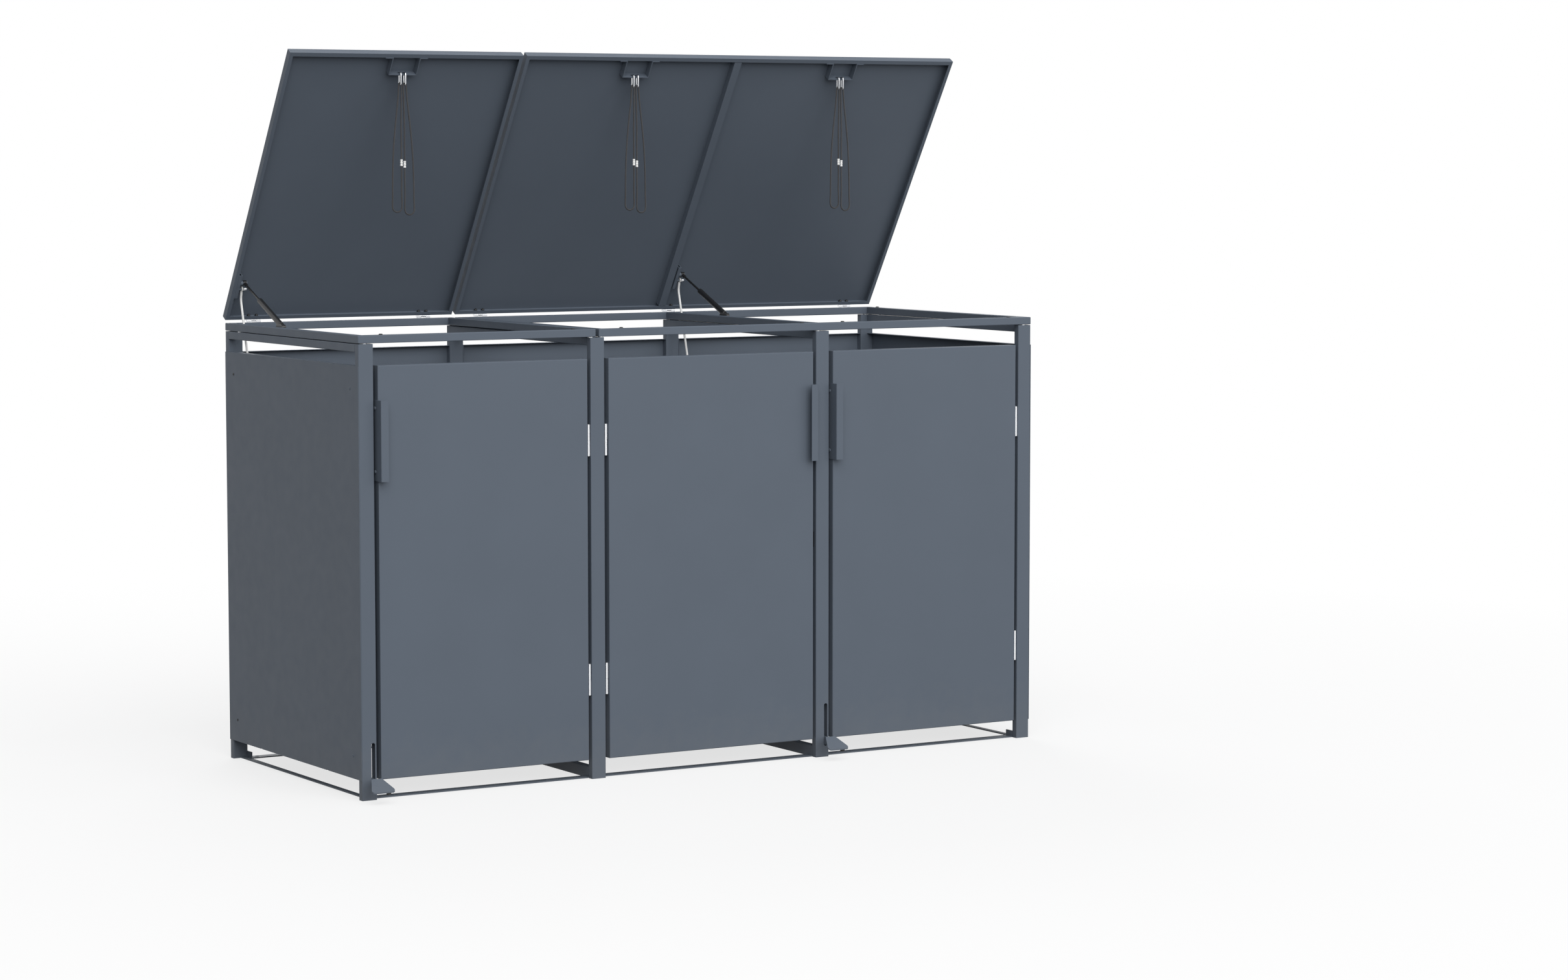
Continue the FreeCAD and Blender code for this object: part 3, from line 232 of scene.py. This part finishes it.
def powder_coat(name, colour, roughness=0.5, ripple=420.0, splash=0.0, gloss=0.18):
    """Satin powder coat with its ripple, and a little splashed dust near the ground."""
    material, tree, shader = new_material(name)
    coat = place_group(
        tree, POWDER, Ripple_size=ripple, Base_roughness=roughness, Colour=(*colour, 1.0))
    shade = coat["Colour"]
    if splash:
        dust = place_group(tree, SPLASH, Reach=0.16, Amount=splash)
        shade = mixed(tree, dust["Mask"], shade, DUST)
    tree.links.new(shade, shader.inputs["Base Color"])
    tree.links.new(coat["Roughness"], shader.inputs["Roughness"])
    bump(tree, shader, coat["Height"], strength=0.12, distance=0.0004)
    shader.inputs["Specular IOR Level"].default_value = gloss
    return material


def plated(name, colour, roughness, cloud=160.0):
    """Zinc or polished steel."""
    material, tree, shader = new_material(name)
    skin = place_group(
        tree, ZINC, Colour=(*colour, 1.0), Cloud_size=cloud, Base_roughness=roughness)
    tree.links.new(skin["Colour"], shader.inputs["Base Color"])
    tree.links.new(skin["Roughness"], shader.inputs["Roughness"])
    shader.inputs["Metallic"].default_value = 1.0
    bump(tree, shader, skin["Height"], strength=0.04, distance=0.0002)
    return material


def rubber(name, colour):
    """Moulded rubber with a dry, slightly dusty skin."""
    material, tree, shader = new_material(name)
    place = object_place(tree)
    bloom = spread(tree, noise(tree, place, 90.0, detail=5.0), (0.4, 0.7), (0.0, 0.12))
    shade = mixed(tree, bloom, (*colour, 1.0), (0.12, 0.12, 0.115, 1.0))
    dryness = spread(tree, noise(tree, place, 40.0), MID_NOISE, (0.62, 0.8))
    tree.links.new(shade, shader.inputs["Base Color"])
    tree.links.new(dryness, shader.inputs["Roughness"])
    bump(tree, shader, noise(tree, place, 900.0), strength=0.2, distance=0.0003)
    return material


# Yarns that cross along a whole cord, and around it
YARNS_ALONG = 380
YARNS_AROUND = 8


def braided(name, shaded_valley, sheen_crown):
    """The woven sleeve of an elastic cord: two sets of yarns that cross along its length, with painted
    shade in the valleys of the weave and a painted sheen on its crowns.
    """
    material, tree, shader = new_material(name)
    uv = tree.nodes.new("ShaderNodeUVMap")
    uv.uv_map = "UVMap"
    split = tree.nodes.new("ShaderNodeSeparateXYZ")
    tree.links.new(uv.outputs["UV"], split.inputs[0])
    along = maths(tree, "MULTIPLY", split.outputs["X"], 2 * math.pi * YARNS_ALONG)
    around = maths(tree, "MULTIPLY", split.outputs["Y"], 2 * math.pi * YARNS_AROUND)
    rising = maths(tree, "SINE", maths(tree, "ADD", along, around), 0.0)
    falling = maths(tree, "SINE", maths(tree, "SUBTRACT", along, around), 0.0)
    weave = spread(tree, maths(tree, "MULTIPLY", rising, falling), (-1.0, 1.0), WHOLE)
    # Colour from the weave's relief: painted shade in its valleys, painted sheen on its crowns.
    tree.links.new(mixed(tree, weave, shaded_valley, sheen_crown), shader.inputs["Base Color"])
    tree.links.new(spread(tree, weave, WHOLE, (0.75, 0.5)), shader.inputs["Roughness"])
    shader.inputs["Sheen Weight"].default_value = 0.15
    bump(tree, shader, weave, strength=0.6, distance=0.0003)
    return material


FINISHES = {
    "powder_coat": powder_coat("Anthracite powder coat", (0.103, 0.124, 0.155), splash=0.1),
    "zinc": plated("Bright zinc plate", (0.80, 0.81, 0.83), roughness=0.3),
    "black_steel": powder_coat(
        "Black enamel", (0.012, 0.012, 0.013), roughness=0.3, ripple=700.0, gloss=0.5),
    "polished_steel": plated("Polished piston steel", (0.72, 0.73, 0.75), roughness=0.14, cloud=60.0),
    "white_coat": powder_coat("White coat", (0.78, 0.78, 0.77), roughness=0.35, ripple=600.0, gloss=0.5),
    "rubber": rubber("Black rubber", (0.014, 0.014, 0.014)),
    # The elastic's two colours are painted shade for the weave's valleys and painted sheen for its
    # crowns.
    "elastic": braided("Braided elastic", (0.006, 0.006, 0.007, 1.0), (0.03, 0.03, 0.033, 1.0)),
}

for row in frame["record"]["subparts"]:
    mesh = nodes[row["node"]].data
    mesh.materials.clear()
    mesh.materials.append(FINISHES[row["material_slot"]])

# Modelling helpers: each shape is made at the origin in millimetres of size, then put in its place

SMOOTH_BELOW = math.radians(35)
BEVEL_ABOVE = math.radians(40)


def only_active(item):
    """Select one item alone and make it the active one."""
    bpy.ops.object.select_all(action="DESELECT")
    bpy.context.view_layer.objects.active = item
    item.select_set(True)


def pick_corners(item, wanted):
    """Select the vertices of a mesh that the test picks, and stay in edit mode."""
    only_active(item)
    bpy.ops.object.mode_set(mode="EDIT")
    bpy.ops.mesh.select_mode(type="VERT")
    bpy.ops.mesh.select_all(action="DESELECT")
    bpy.ops.object.mode_set(mode="OBJECT")
    for corner in item.data.vertices:
        corner.select = wanted(corner)
    bpy.ops.object.mode_set(mode="EDIT")


def lathe(name, rings, sides=32):
    """A round solid along Z: a closed circle extruded and widened from ring to ring (radius, height)."""
    (radius, height), *rest = rings
    bpy.ops.mesh.primitive_circle_add(
        vertices=sides, radius=radius * MM, fill_type="NGON", location=(0, 0, height * MM))
    item = bpy.context.object
    item.name = name
    bpy.ops.object.transform_apply(location=True)
    bpy.ops.object.mode_set(mode="EDIT")
    for next_radius, next_height in rest:
        bpy.ops.mesh.extrude_region_move(
            TRANSFORM_OT_translate={"value": (0, 0, (next_height - height) * MM)})
        grow = next_radius / radius
        bpy.ops.transform.resize(value=(grow, grow, 1), center_override=(0, 0, next_height * MM))
        radius, height = next_radius, next_height
    bpy.ops.mesh.select_all(action="SELECT")
    bpy.ops.mesh.normals_make_consistent(inside=False)
    bpy.ops.object.mode_set(mode="OBJECT")
    return item


def hexagon(radius, low, high):
    """A six-sided prism along Z, between two heights."""
    bpy.ops.mesh.primitive_cylinder_add(
        vertices=6, radius=radius * MM, depth=(high - low) * MM, location=(0, 0, (low + high) / 2 * MM))
    bpy.ops.object.transform_apply(location=True)
    return bpy.context.object


def softened(item, width):
    """Round the sharp edges of a shape with a bevel that is applied."""
    bevel = item.modifiers.new("Rounded", "BEVEL")
    bevel.width = width * MM
    bevel.segments = 2
    bevel.limit_method = "ANGLE"
    bevel.angle_limit = BEVEL_ABOVE
    only_active(item)
    bpy.ops.object.modifier_apply(modifier=bevel.name)
    return item


def carved(item, tool):
    """Cut a tool's shape out of an item."""
    cut = item.modifiers.new("Carved", "BOOLEAN")
    cut.operation = "DIFFERENCE"
    cut.solver = "EXACT"
    cut.object = tool
    only_active(item)
    bpy.ops.object.modifier_apply(modifier=cut.name)
    bpy.data.objects.remove(tool)
    return item


def joined(name, items):
    """One object from several."""
    bpy.ops.object.select_all(action="DESELECT")
    for item in items:
        item.select_set(True)
    bpy.context.view_layer.objects.active = items[0]
    if len(items) > 1:
        bpy.ops.object.join()
    items[0].name = name
    return items[0]


def copied(name, master, places):
    """A copy of a shape at each place, joined as one object with its place in its mesh."""
    items = []
    for place in places:
        item = bpy.data.objects.new(name, master.data.copy())
        item.data.transform(place)
        bpy.context.scene.collection.objects.link(item)
        items.append(item)
    return joined(name, items)


def dress(item, body, slot, *replaced):
    """Give a finished piece its body and its finish, and hide the sub-parts that it stands for."""
    only_active(item)
    bpy.ops.object.shade_smooth_by_angle(angle=SMOOTH_BELOW)
    item.data.materials.clear()
    item.data.materials.append(FINISHES[slot])
    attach(item, body)
    if replaced:
        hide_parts(*replaced)
    return item


def facing(point, direction):
    """A place whose Z axis looks along a direction."""
    return Matrix.Translation(point) @ Vector(direction).to_track_quat("Z", "Y").to_matrix().to_4x4()


def clear_masters(*masters):
    """Take away the shapes that copies were made from."""
    for master in masters:
        bpy.data.objects.remove(master)


# Fasteners, as rings of (radius, height)

def screw_head():
    """A low round head with a hexagon socket."""
    head = lathe("screw_master", [(4.5, 0), (4.5, 0.7), (4.3, 1.3), (3.7, 1.9), (2.8, 2.3), (2.2, 2.4)])
    return carved(head, hexagon(radius=1.45, low=1.3, high=4.3))


def rivet_head():
    """A domed blind rivet with the pit of its broken pin."""
    return lathe("rivet_master", [
        (4, 0), (4, 0.25), (3.8, 0.6), (3.2, 0.95), (2.4, 1.15), (1.75, 1.2), (1.6, 1.1), (1.55, 0.4),
    ])


def rivet_pin():
    """The broken end of a blind rivet's pin, down in its pit."""
    return lathe("rivet_pin_master", [(1.5, 0.4), (1.5, 0.75), (1.2, 0.9), (0.5, 0.85)], sides=20)


def rivet_shade_dome():
    """A small dark dome with a pit in its middle, drawn in place of a rivet. Its black is painted shade
    for the rivet's dark pit.
    """
    return lathe("rivet_cap_master", [
        (3.4, 0), (3.4, 0.5), (3.1, 0.9), (2.3, 1.1), (1.6, 1.15), (1.45, 1.0), (1.4, 0.45),
    ])


def domed_nut():
    """A hexagon nut with a closed dome."""
    base = softened(hexagon(radius=5.0, low=0, high=3.6), 0.35)
    dome = lathe("dome", [
        (4.1, 3.3), (4.1, 4.2), (3.9, 5.2), (3.3, 6.3), (2.3, 7.1), (1.0, 7.5), (0.3, 7.6),
    ])
    return joined("nut_master", [base, dome])


# A cross recess is cut by two bars of this length, width and height, with their middles at the crown
RECESS_BAR = (3.2, 0.7, 1.8)
CROWN = 2.0


def hinge_screw():
    """A low round head with a cross recess."""
    head = lathe("hinge_screw_master", [(3.6, 0), (3.6, 0.6), (3.3, 1.2), (2.6, 1.8), (1.6, CROWN)])
    for angle in (0, math.pi / 2):
        bpy.ops.mesh.primitive_cube_add(size=MM, location=(0, 0, CROWN * MM), rotation=(0, 0, angle))
        bar = bpy.context.object
        bar.scale = RECESS_BAR
        carved(head, bar)
    return head


def locking_nut():
    """A hexagon nut with a round collar, and the end of its pin standing out."""
    base = softened(lathe("pin_nut_master", [(5.0, 0), (5.0, 4.8)], sides=6), 0.35)
    collar = lathe("nut_collar", [
        (4.4, 4.6), (4.4, 6.2), (4.0, 6.8), (3.1, 6.9), (3.05, 8.3), (2.6, 8.7),
    ])
    return joined("pin_nut_master", [base, collar])


# Door handle screws, outside the side leg of each handle

DOOR_BODIES = ("left_door", "middle_door", "right_door")
TURNED_DOOR = "middle_door"

screw = screw_head()
for number, body in enumerate(DOOR_BODIES, start=1):
    low, high = (Vector(corner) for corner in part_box(f"handle_screws_{number}"))
    turned = body == TURNED_DOOR
    outwards = (1, 0, 0) if turned else (-1, 0, 0)
    face = low.x if turned else high.x
    radius = (high.y - low.y) / 2
    heights = (low.z + radius, high.z - radius)
    spots = [facing(Vector((face, low.y + radius, z)), outwards) for z in heights]
    dress(copied(f"hex_screws_{number}", screw, spots), body, "powder_coat", f"handle_screws_{number}")

# Side panels: blind rivets along the front posts, and dark domes along the rear posts whose black is
# painted shade for the rivets' pits

RIVET_RADIUS = 4 * MM
RIVET_PROUD = 1.2 * MM
rivets_low, rivets_high = (Vector(corner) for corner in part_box("panel_rivets"))


def panel_places(y):
    """Both panels' fixings on one line, facing out."""
    faces = ((rivets_low.x + RIVET_PROUD, (-1, 0, 0)), (rivets_high.x - RIVET_PROUD, (1, 0, 0)))
    heights = (rivets_low.z + RIVET_RADIUS, rivets_high.z - RIVET_RADIUS)
    return [facing(Vector((face, y, z)), outwards) for face, outwards in faces for z in heights]


rivet, pin, shade_dome = rivet_head(), rivet_pin(), rivet_shade_dome()
front_places = panel_places(rivets_low.y + RIVET_RADIUS)
rear_places = panel_places(rivets_high.y - RIVET_RADIUS)
dress(copied("blind_rivets", rivet, front_places), "frame", "powder_coat", "panel_rivets")
dress(copied("rivet_pins", pin, front_places), "frame", "powder_coat")
# The rear rivets are black rubber domes: painted shade for their dark pits.
dress(copied("rivet_caps", shade_dome, rear_places), "frame", "rubber", "panel_rivets")

# Places on the lids are given for the closed lids, and the lids stand open about their hinge axis

LID_AXIS = at(0, 814, 1155)
LID_OPEN_ANGLE = 58
LID_OPEN = Matrix.Rotation(math.radians(-LID_OPEN_ANGLE), 4, "X")
LID_TURN = Matrix.Translation(LID_AXIS) @ LID_OPEN @ Matrix.Translation(-LID_AXIS)

# Lid hinges: cross-recess screws outside, domed nuts inside the rear flange

HINGE_MIDDLES = {"single_lid": (81, 577), "double_lid": (749, 1340, 1923)}
SCREW_SPREAD = 11
LEAF_FACE = 812
FLANGE_FACE = 808.8
LID_SCREW_LINE = 1165
FRAME_SCREW_LINE = 1140
BACKWARDS, FORWARDS = (0, 1, 0), (0, -1, 0)

cross_screw, nut = hinge_screw(), domed_nut()
all_lines = []
for body, middles in HINGE_MIDDLES.items():
    lines = [middle + side * SCREW_SPREAD for middle in middles for side in LEFT_AND_RIGHT]
    nuts = [LID_TURN @ facing(at(x, FLANGE_FACE, LID_SCREW_LINE), FORWARDS) for x in lines]
    heads = [LID_TURN @ facing(at(x, LEAF_FACE, LID_SCREW_LINE), BACKWARDS) for x in lines]
    dress(copied(f"{body}_domed_nuts", nut, nuts), body, "black_steel")
    dress(copied(f"{body}_hinge_screws", cross_screw, heads), body, "zinc")
    all_lines += lines
frame_heads = [facing(at(x, LEAF_FACE, FRAME_SCREW_LINE), BACKWARDS) for x in all_lines]
dress(copied("frame_hinge_screws", cross_screw, frame_heads), "frame", "zinc")

# Gas struts and push rods, one mechanism to a lid

MECHANISMS = {"left": (0, "single_lid"), "right": (1320, "double_lid")}
STRUT_FOOT = (513, 1149)
STRUT_TILT = math.radians(23.67)
STRUT_MIDDLE = 31.5
COLLAR_UP = 6
GUIDE_UP = 152
PIN_PLACE = (715.3, 1156.1)
PIN_NUT_FACE = 31.4


def along_strut(shift, distance):
    """A place on a strut's middle line whose Z axis runs up the strut."""
    run = Vector((0, math.cos(STRUT_TILT), math.sin(STRUT_TILT)))
    return facing(at(STRUT_MIDDLE + shift, *STRUT_FOOT) + run * distance * MM, run)


guide = lathe("guide_master", [
    (7.55, 0), (7.62, 0.2), (7.62, 4.2), (7.4, 5.2), (6.9, 6.2), (6.0, 7.0), (4.9, 7.3), (4.6, 8.6),
    (3.3, 9.0),
])
collar = lathe("collar_master", [(5.2, 0), (5.6, 0.5), (5.6, 5.0), (5.2, 5.5), (4.7, 6.0)])
pin_nut = locking_nut()
for side, (shift, lid) in MECHANISMS.items():
    tube = f"{side}_strut_tube"
    dress(copied(f"{side}_strut_guide", guide, [along_strut(shift, GUIDE_UP)]), tube, "black_steel")
    dress(copied(f"{side}_strut_collar", collar, [along_strut(shift, COLLAR_UP)]), tube, "black_steel")
    nut_place = LID_TURN @ facing(at(shift + PIN_NUT_FACE, *PIN_PLACE), (1, 0, 0))
    dress(copied(f"{side}_push_rod_nut", pin_nut, [nut_place]), lid, "zinc")

# Rubber buffers under the lids: a flange, a waist and a soft crown

BUFFER_PLACES = [(66.5, 12), (602, 12), (742, 12), (1283, 12), (1409, 12), (1940, 12), (1996, 750)]
FRAME_TOP = 1150

buffer_shape = lathe("buffer_master", [
    (5.2, 0), (5.4, 0.3), (5.4, 0.7), (4.7, 1.0), (4.6, 1.3), (4.6, 1.7), (4.1, 2.2), (3.0, 2.5),
    (1.6, 2.6),
])
buffers = [Matrix.Translation(at(x, y, FRAME_TOP)) for x, y in BUFFER_PLACES]
dress(copied("rubber_buffers", buffer_shape, buffers), "frame", "rubber", "lid_buffers")

# Snap hooks, ferrules and elastic cords

STRAP_MIDDLES = (327, 1011, 1655)
RING_LINE = 414.10
RING_TOP = 1794.22
RING_STRAIGHT = 21.5
RING_RADIUS = 5.5
RING_WIRE = 1.75
RING_SPREAD = 6.5
GATE_PIVOT_RADIUS = 1.1
GATE_PIVOT_LONG = 5.4
GATE_PIVOT_UP = 1.6
ROUNDING_ERROR = 0.001
HOOK_BOTTOM = RING_TOP - RING_STRAIGHT - RING_RADIUS
CORD_RADIUS = 2.0

# A cord's route from the foot of its hook: up from the ferrule, over the hook, down, and round the bight
LEFT_CORD = [
    (-4.6, 0.0, -190), (-4.1, 0.6, -151), (-4.9, 0.2, -106), (-3.9, -0.5, -61), (-3.2, 0.0, -28),
    (-2.5, 0.2, -10.8), (-2.6, 0.0, 4.3), (-10.4, 0.0, 4.3), (-10.9, -0.2, -10.8),
    (-13.2, 0.0, -40), (-19.3, 0.7, -91), (-25.4, 0.4, -147), (-29.2, -0.5, -203),
    (-30.6, -0.8, -254), (-30.3, -0.3, -285), (-30.9, 0.2, -301), (-30.8, 0.3, -316),
    (-25.7, 0.3, -323), (-17.5, 0.1, -325.7), (-9.2, -0.1, -323), (-4.2, -0.2, -316),
    (-4.0, -0.1, -300.5), (-4.9, 0.4, -270), (-4.1, 0.4, -239), (-4.6, 0.0, -207),
]
CORD_DROP = 330
RIGHT_LOWER = 7
RIGHT_CORD = [(-x, -y, z - RIGHT_LOWER * max(0, -z) / CORD_DROP) for x, y, z in LEFT_CORD]
CORDS = {"left": (LEFT_CORD, 0.663), "right": (RIGHT_CORD, 0.676)}


def snap_hook():
    """A long ring of round wire with a sprung gate on its rear side, hinged below and hooked above."""
    sideways = (0, math.pi / 2, 0)
    bpy.ops.mesh.primitive_torus_add(
        major_radius=RING_RADIUS * MM, minor_radius=RING_WIRE * MM, major_segments=40,
        minor_segments=14, rotation=sideways)
    ring = bpy.context.object
    bpy.ops.object.transform_apply(rotation=True)
    pick_corners(ring, lambda corner: corner.co.z < -ROUNDING_ERROR * MM)
    bpy.ops.transform.translate(value=(0, 0, -RING_STRAIGHT * MM))
    bpy.ops.object.mode_set(mode="OBJECT")
    gate = lathe("gate", [
        (1.9, -RING_STRAIGHT), (2.15, -RING_STRAIGHT + 0.4), (2.15, -4.2), (2.5, -3.6), (2.5, -2.2),
        (2.0, -1.4), (1.8, -1.2),
    ], sides=16)
    bpy.ops.mesh.primitive_cylinder_add(
        vertices=12, radius=GATE_PIVOT_RADIUS * MM, depth=GATE_PIVOT_LONG * MM,
        location=(0, 0, (-RING_STRAIGHT + GATE_PIVOT_UP) * MM), rotation=sideways)
    bpy.ops.object.transform_apply(location=True, rotation=True)
    pivot = softened(bpy.context.object, 0.25)
    bow = joined("gate", [gate, pivot])
    bow.data.transform(Matrix.Translation((0, RING_RADIUS * MM, 0)))
    return joined("hook_master", [ring, bow])


def ferrule_shape(long):
    """A crimped sleeve with two pinched bands and rolled ends."""
    return lathe("ferrule_master", [
        (2.6, 0), (3.3, 0.3), (3.5, 0.9), (3.5, long * 0.2), (2.95, long * 0.26), (2.95, long * 0.36),
        (3.5, long * 0.42), (3.5, long * 0.58), (2.95, long * 0.64), (2.95, long * 0.74),
        (3.5, long * 0.8), (3.5, long - 0.9), (3.3, long - 0.3), (2.6, long),
    ], sides=24)


def cord_curve(name, points):
    """One smooth line through the air, with a round section."""
    data = bpy.data.curves.new(name, "CURVE")
    data.dimensions = "3D"
    spline = data.splines.new("NURBS")
    spline.points.add(len(points) - 1)
    for point, place in zip(spline.points, points):
        point.co = (*place, 1)
    spline.order_u = 3
    spline.use_endpoint_u = True
    data.resolution_u = 8
    data.bevel_depth = CORD_RADIUS * MM
    data.bevel_resolution = 3
    data.materials.append(FINISHES["elastic"])
    item = bpy.data.objects.new(name, data)
    bpy.context.scene.collection.objects.link(item)
    return item


hook = snap_hook()
for number, middle in enumerate(STRAP_MIDDLES, start=1):
    body, fittings = f"cord_set_{number}", f"cord_fittings_{number}"
    lines = [middle + side * RING_SPREAD for side in LEFT_AND_RIGHT]
    hook_places = [Matrix.Translation(at(x, RING_LINE, RING_TOP)) for x in lines]
    hooks = dress(copied(f"snap_hooks_{number}", hook, hook_places), body, "polished_steel", fittings)
    for side, (route, length) in CORDS.items():
        points = [at(middle + x, RING_LINE + y, HOOK_BOTTOM + z) for x, y, z in route]
        foot, top = points[-1], points[0]
        sleeve = ferrule_shape((top - foot).length / MM)
        ferrule = copied(f"{side}_ferrule_{number}", sleeve, [facing(foot, top - foot)])
        dress(ferrule, body, "white_coat", fittings)
        clear_masters(sleeve)
        cord = cord_curve(f"{side}_cord_{number}", points)
        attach(cord, body)
        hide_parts(f"cords_{number}")

clear_masters(screw, rivet, pin, shade_dome, cross_screw, nut, guide, collar, pin_nut, buffer_shape, hook)

# Studio: a pale floor and sky that show as white and light the store softly

FLOOR_SIZE = 60
FLOOR_DROP = 0.0005
FLOOR_BOUNCE = (0.14, 0.14, 0.14, 1.0)
FLOOR_GLOW = 0.72
FLOOR_SHADE = 0.22
SHADOW_REACH = (1.6, 4.5)
SKY_COLOUR = (0.97, 0.985, 1.0, 1.0)
SKY_STRENGTH = 0.355
WHITE = (1.0, 1.0, 1.0, 1.0)
LIT_POINT = Vector((0.0, -0.2, 0.7))


def seen_directly(tree):
    """One for rays from the camera and for those mirrored or let through, and zero for diffuse light."""
    rays = tree.nodes.new("ShaderNodeLightPath").outputs
    shown = maths(tree, "MAXIMUM", rays["Is Camera Ray"], rays["Is Glossy Ray"])
    return maths(tree, "MAXIMUM", shown, rays["Is Transmission Ray"])


def lit_or_seen(tree, lit, seen, output):
    """One shader for the light that it gives, and another for how it looks."""
    choice = tree.nodes.new("ShaderNodeMixShader")
    tree.links.new(seen_directly(tree), choice.inputs[0])
    tree.links.new(lit, choice.inputs[1])
    tree.links.new(seen, choice.inputs[2])
    tree.links.new(choice.outputs[0], output)


def studio_floor():
    """A white floor that keeps the shadow near the store and runs out into the white behind it."""
    bpy.ops.mesh.primitive_plane_add(size=FLOOR_SIZE, location=(0, 0, -FLOOR_DROP))
    floor = bpy.context.object
    floor.name = "studio_floor"
    material, tree, bounce = new_material("Studio floor")
    bounce.inputs["Base Color"].default_value = FLOOR_BOUNCE
    bounce.inputs["Roughness"].default_value = 0.9
    bounce.inputs["Specular IOR Level"].default_value = 0.0
    reach = tree.nodes.new("ShaderNodeVectorMath")
    reach.operation = "LENGTH"
    tree.links.new(object_place(tree), reach.inputs[0])
    away = reach.outputs["Value"]
    glow = tree.nodes.new("ShaderNodeEmission")
    tree.links.new(spread(tree, away, SHADOW_REACH, (FLOOR_GLOW, 1.0)), glow.inputs["Strength"])
    matt = tree.nodes.new("ShaderNodeBsdfDiffuse")
    shade = grey(tree, spread(tree, away, SHADOW_REACH, (FLOOR_SHADE, 0.0)))
    tree.links.new(shade, matt.inputs["Color"])
    bright = tree.nodes.new("ShaderNodeAddShader")
    tree.links.new(matt.outputs[0], bright.inputs[0])
    tree.links.new(glow.outputs[0], bright.inputs[1])
    surface = tree.nodes["Material Output"].inputs["Surface"]
    lit_or_seen(tree, bounce.outputs[0], bright.outputs[0], surface)
    floor.data.materials.append(material)


def studio_sky():
    """A soft grey sky for light, that shows as white."""
    world = bpy.data.worlds.new("Studio")
    bpy.context.scene.world = world
    world.use_nodes = True
    tree = world.node_tree
    soft = tree.nodes["Background"]
    soft.inputs["Color"].default_value = SKY_COLOUR
    soft.inputs["Strength"].default_value = SKY_STRENGTH
    white = tree.nodes.new("ShaderNodeBackground")
    white.inputs["Color"].default_value = WHITE
    surface = tree.nodes["World Output"].inputs["Surface"]
    lit_or_seen(tree, soft.outputs[0], white.outputs[0], surface)


def lamp(name, direction, distance, size, level):
    """A square soft lamp. At level 1, a face turned to it shows its colour as written."""
    data = bpy.data.lights.new(name, "AREA")
    data.size = size
    data.energy = level * (math.pi * distance) ** 2
    item = bpy.data.objects.new(name, data)
    bpy.context.scene.collection.objects.link(item)
    towards = Vector(direction).normalized()
    item.location = LIT_POINT + towards * distance
    item.rotation_euler = towards.to_track_quat("Z", "Y").to_euler()


VIEWPOINT = at(-4058.7, -8603.7, 1605.0)
VIEW_DOWN = 5.038
VIEW_TURN = 31.535
LENS = 88.89
SENSOR = 36.0
FAR_END = 100.0


def camera():
    """The photograph's viewpoint: front left, a little above the frame, with a long lens."""
    data = bpy.data.cameras.new("Camera")
    data.sensor_width = SENSOR
    data.lens = LENS
    data.clip_end = FAR_END
    item = bpy.data.objects.new("Camera", data)
    bpy.context.scene.collection.objects.link(item)
    item.location = VIEWPOINT
    item.rotation_euler = Euler((math.radians(90 - VIEW_DOWN), 0.0, math.radians(-VIEW_TURN)))
    bpy.context.scene.camera = item


studio_floor()
studio_sky()
lamp("Key lamp", direction=(-0.15, -0.76, 0.60), distance=17.0, size=20.0, level=1.26)
lamp("Fill lamp", direction=(0.70, -0.66, 0.28), distance=9.0, size=4.2, level=0.12)
lamp("Back lamp", direction=(0.24, 0.8, 0.55), distance=6.5, size=3.5, level=0.35)
lamp("Top lamp", direction=(0.0, -0.1, 1.0), distance=4.5, size=3.5, level=0.05)
camera()
bpy.context.scene.view_settings.view_transform = "Standard"
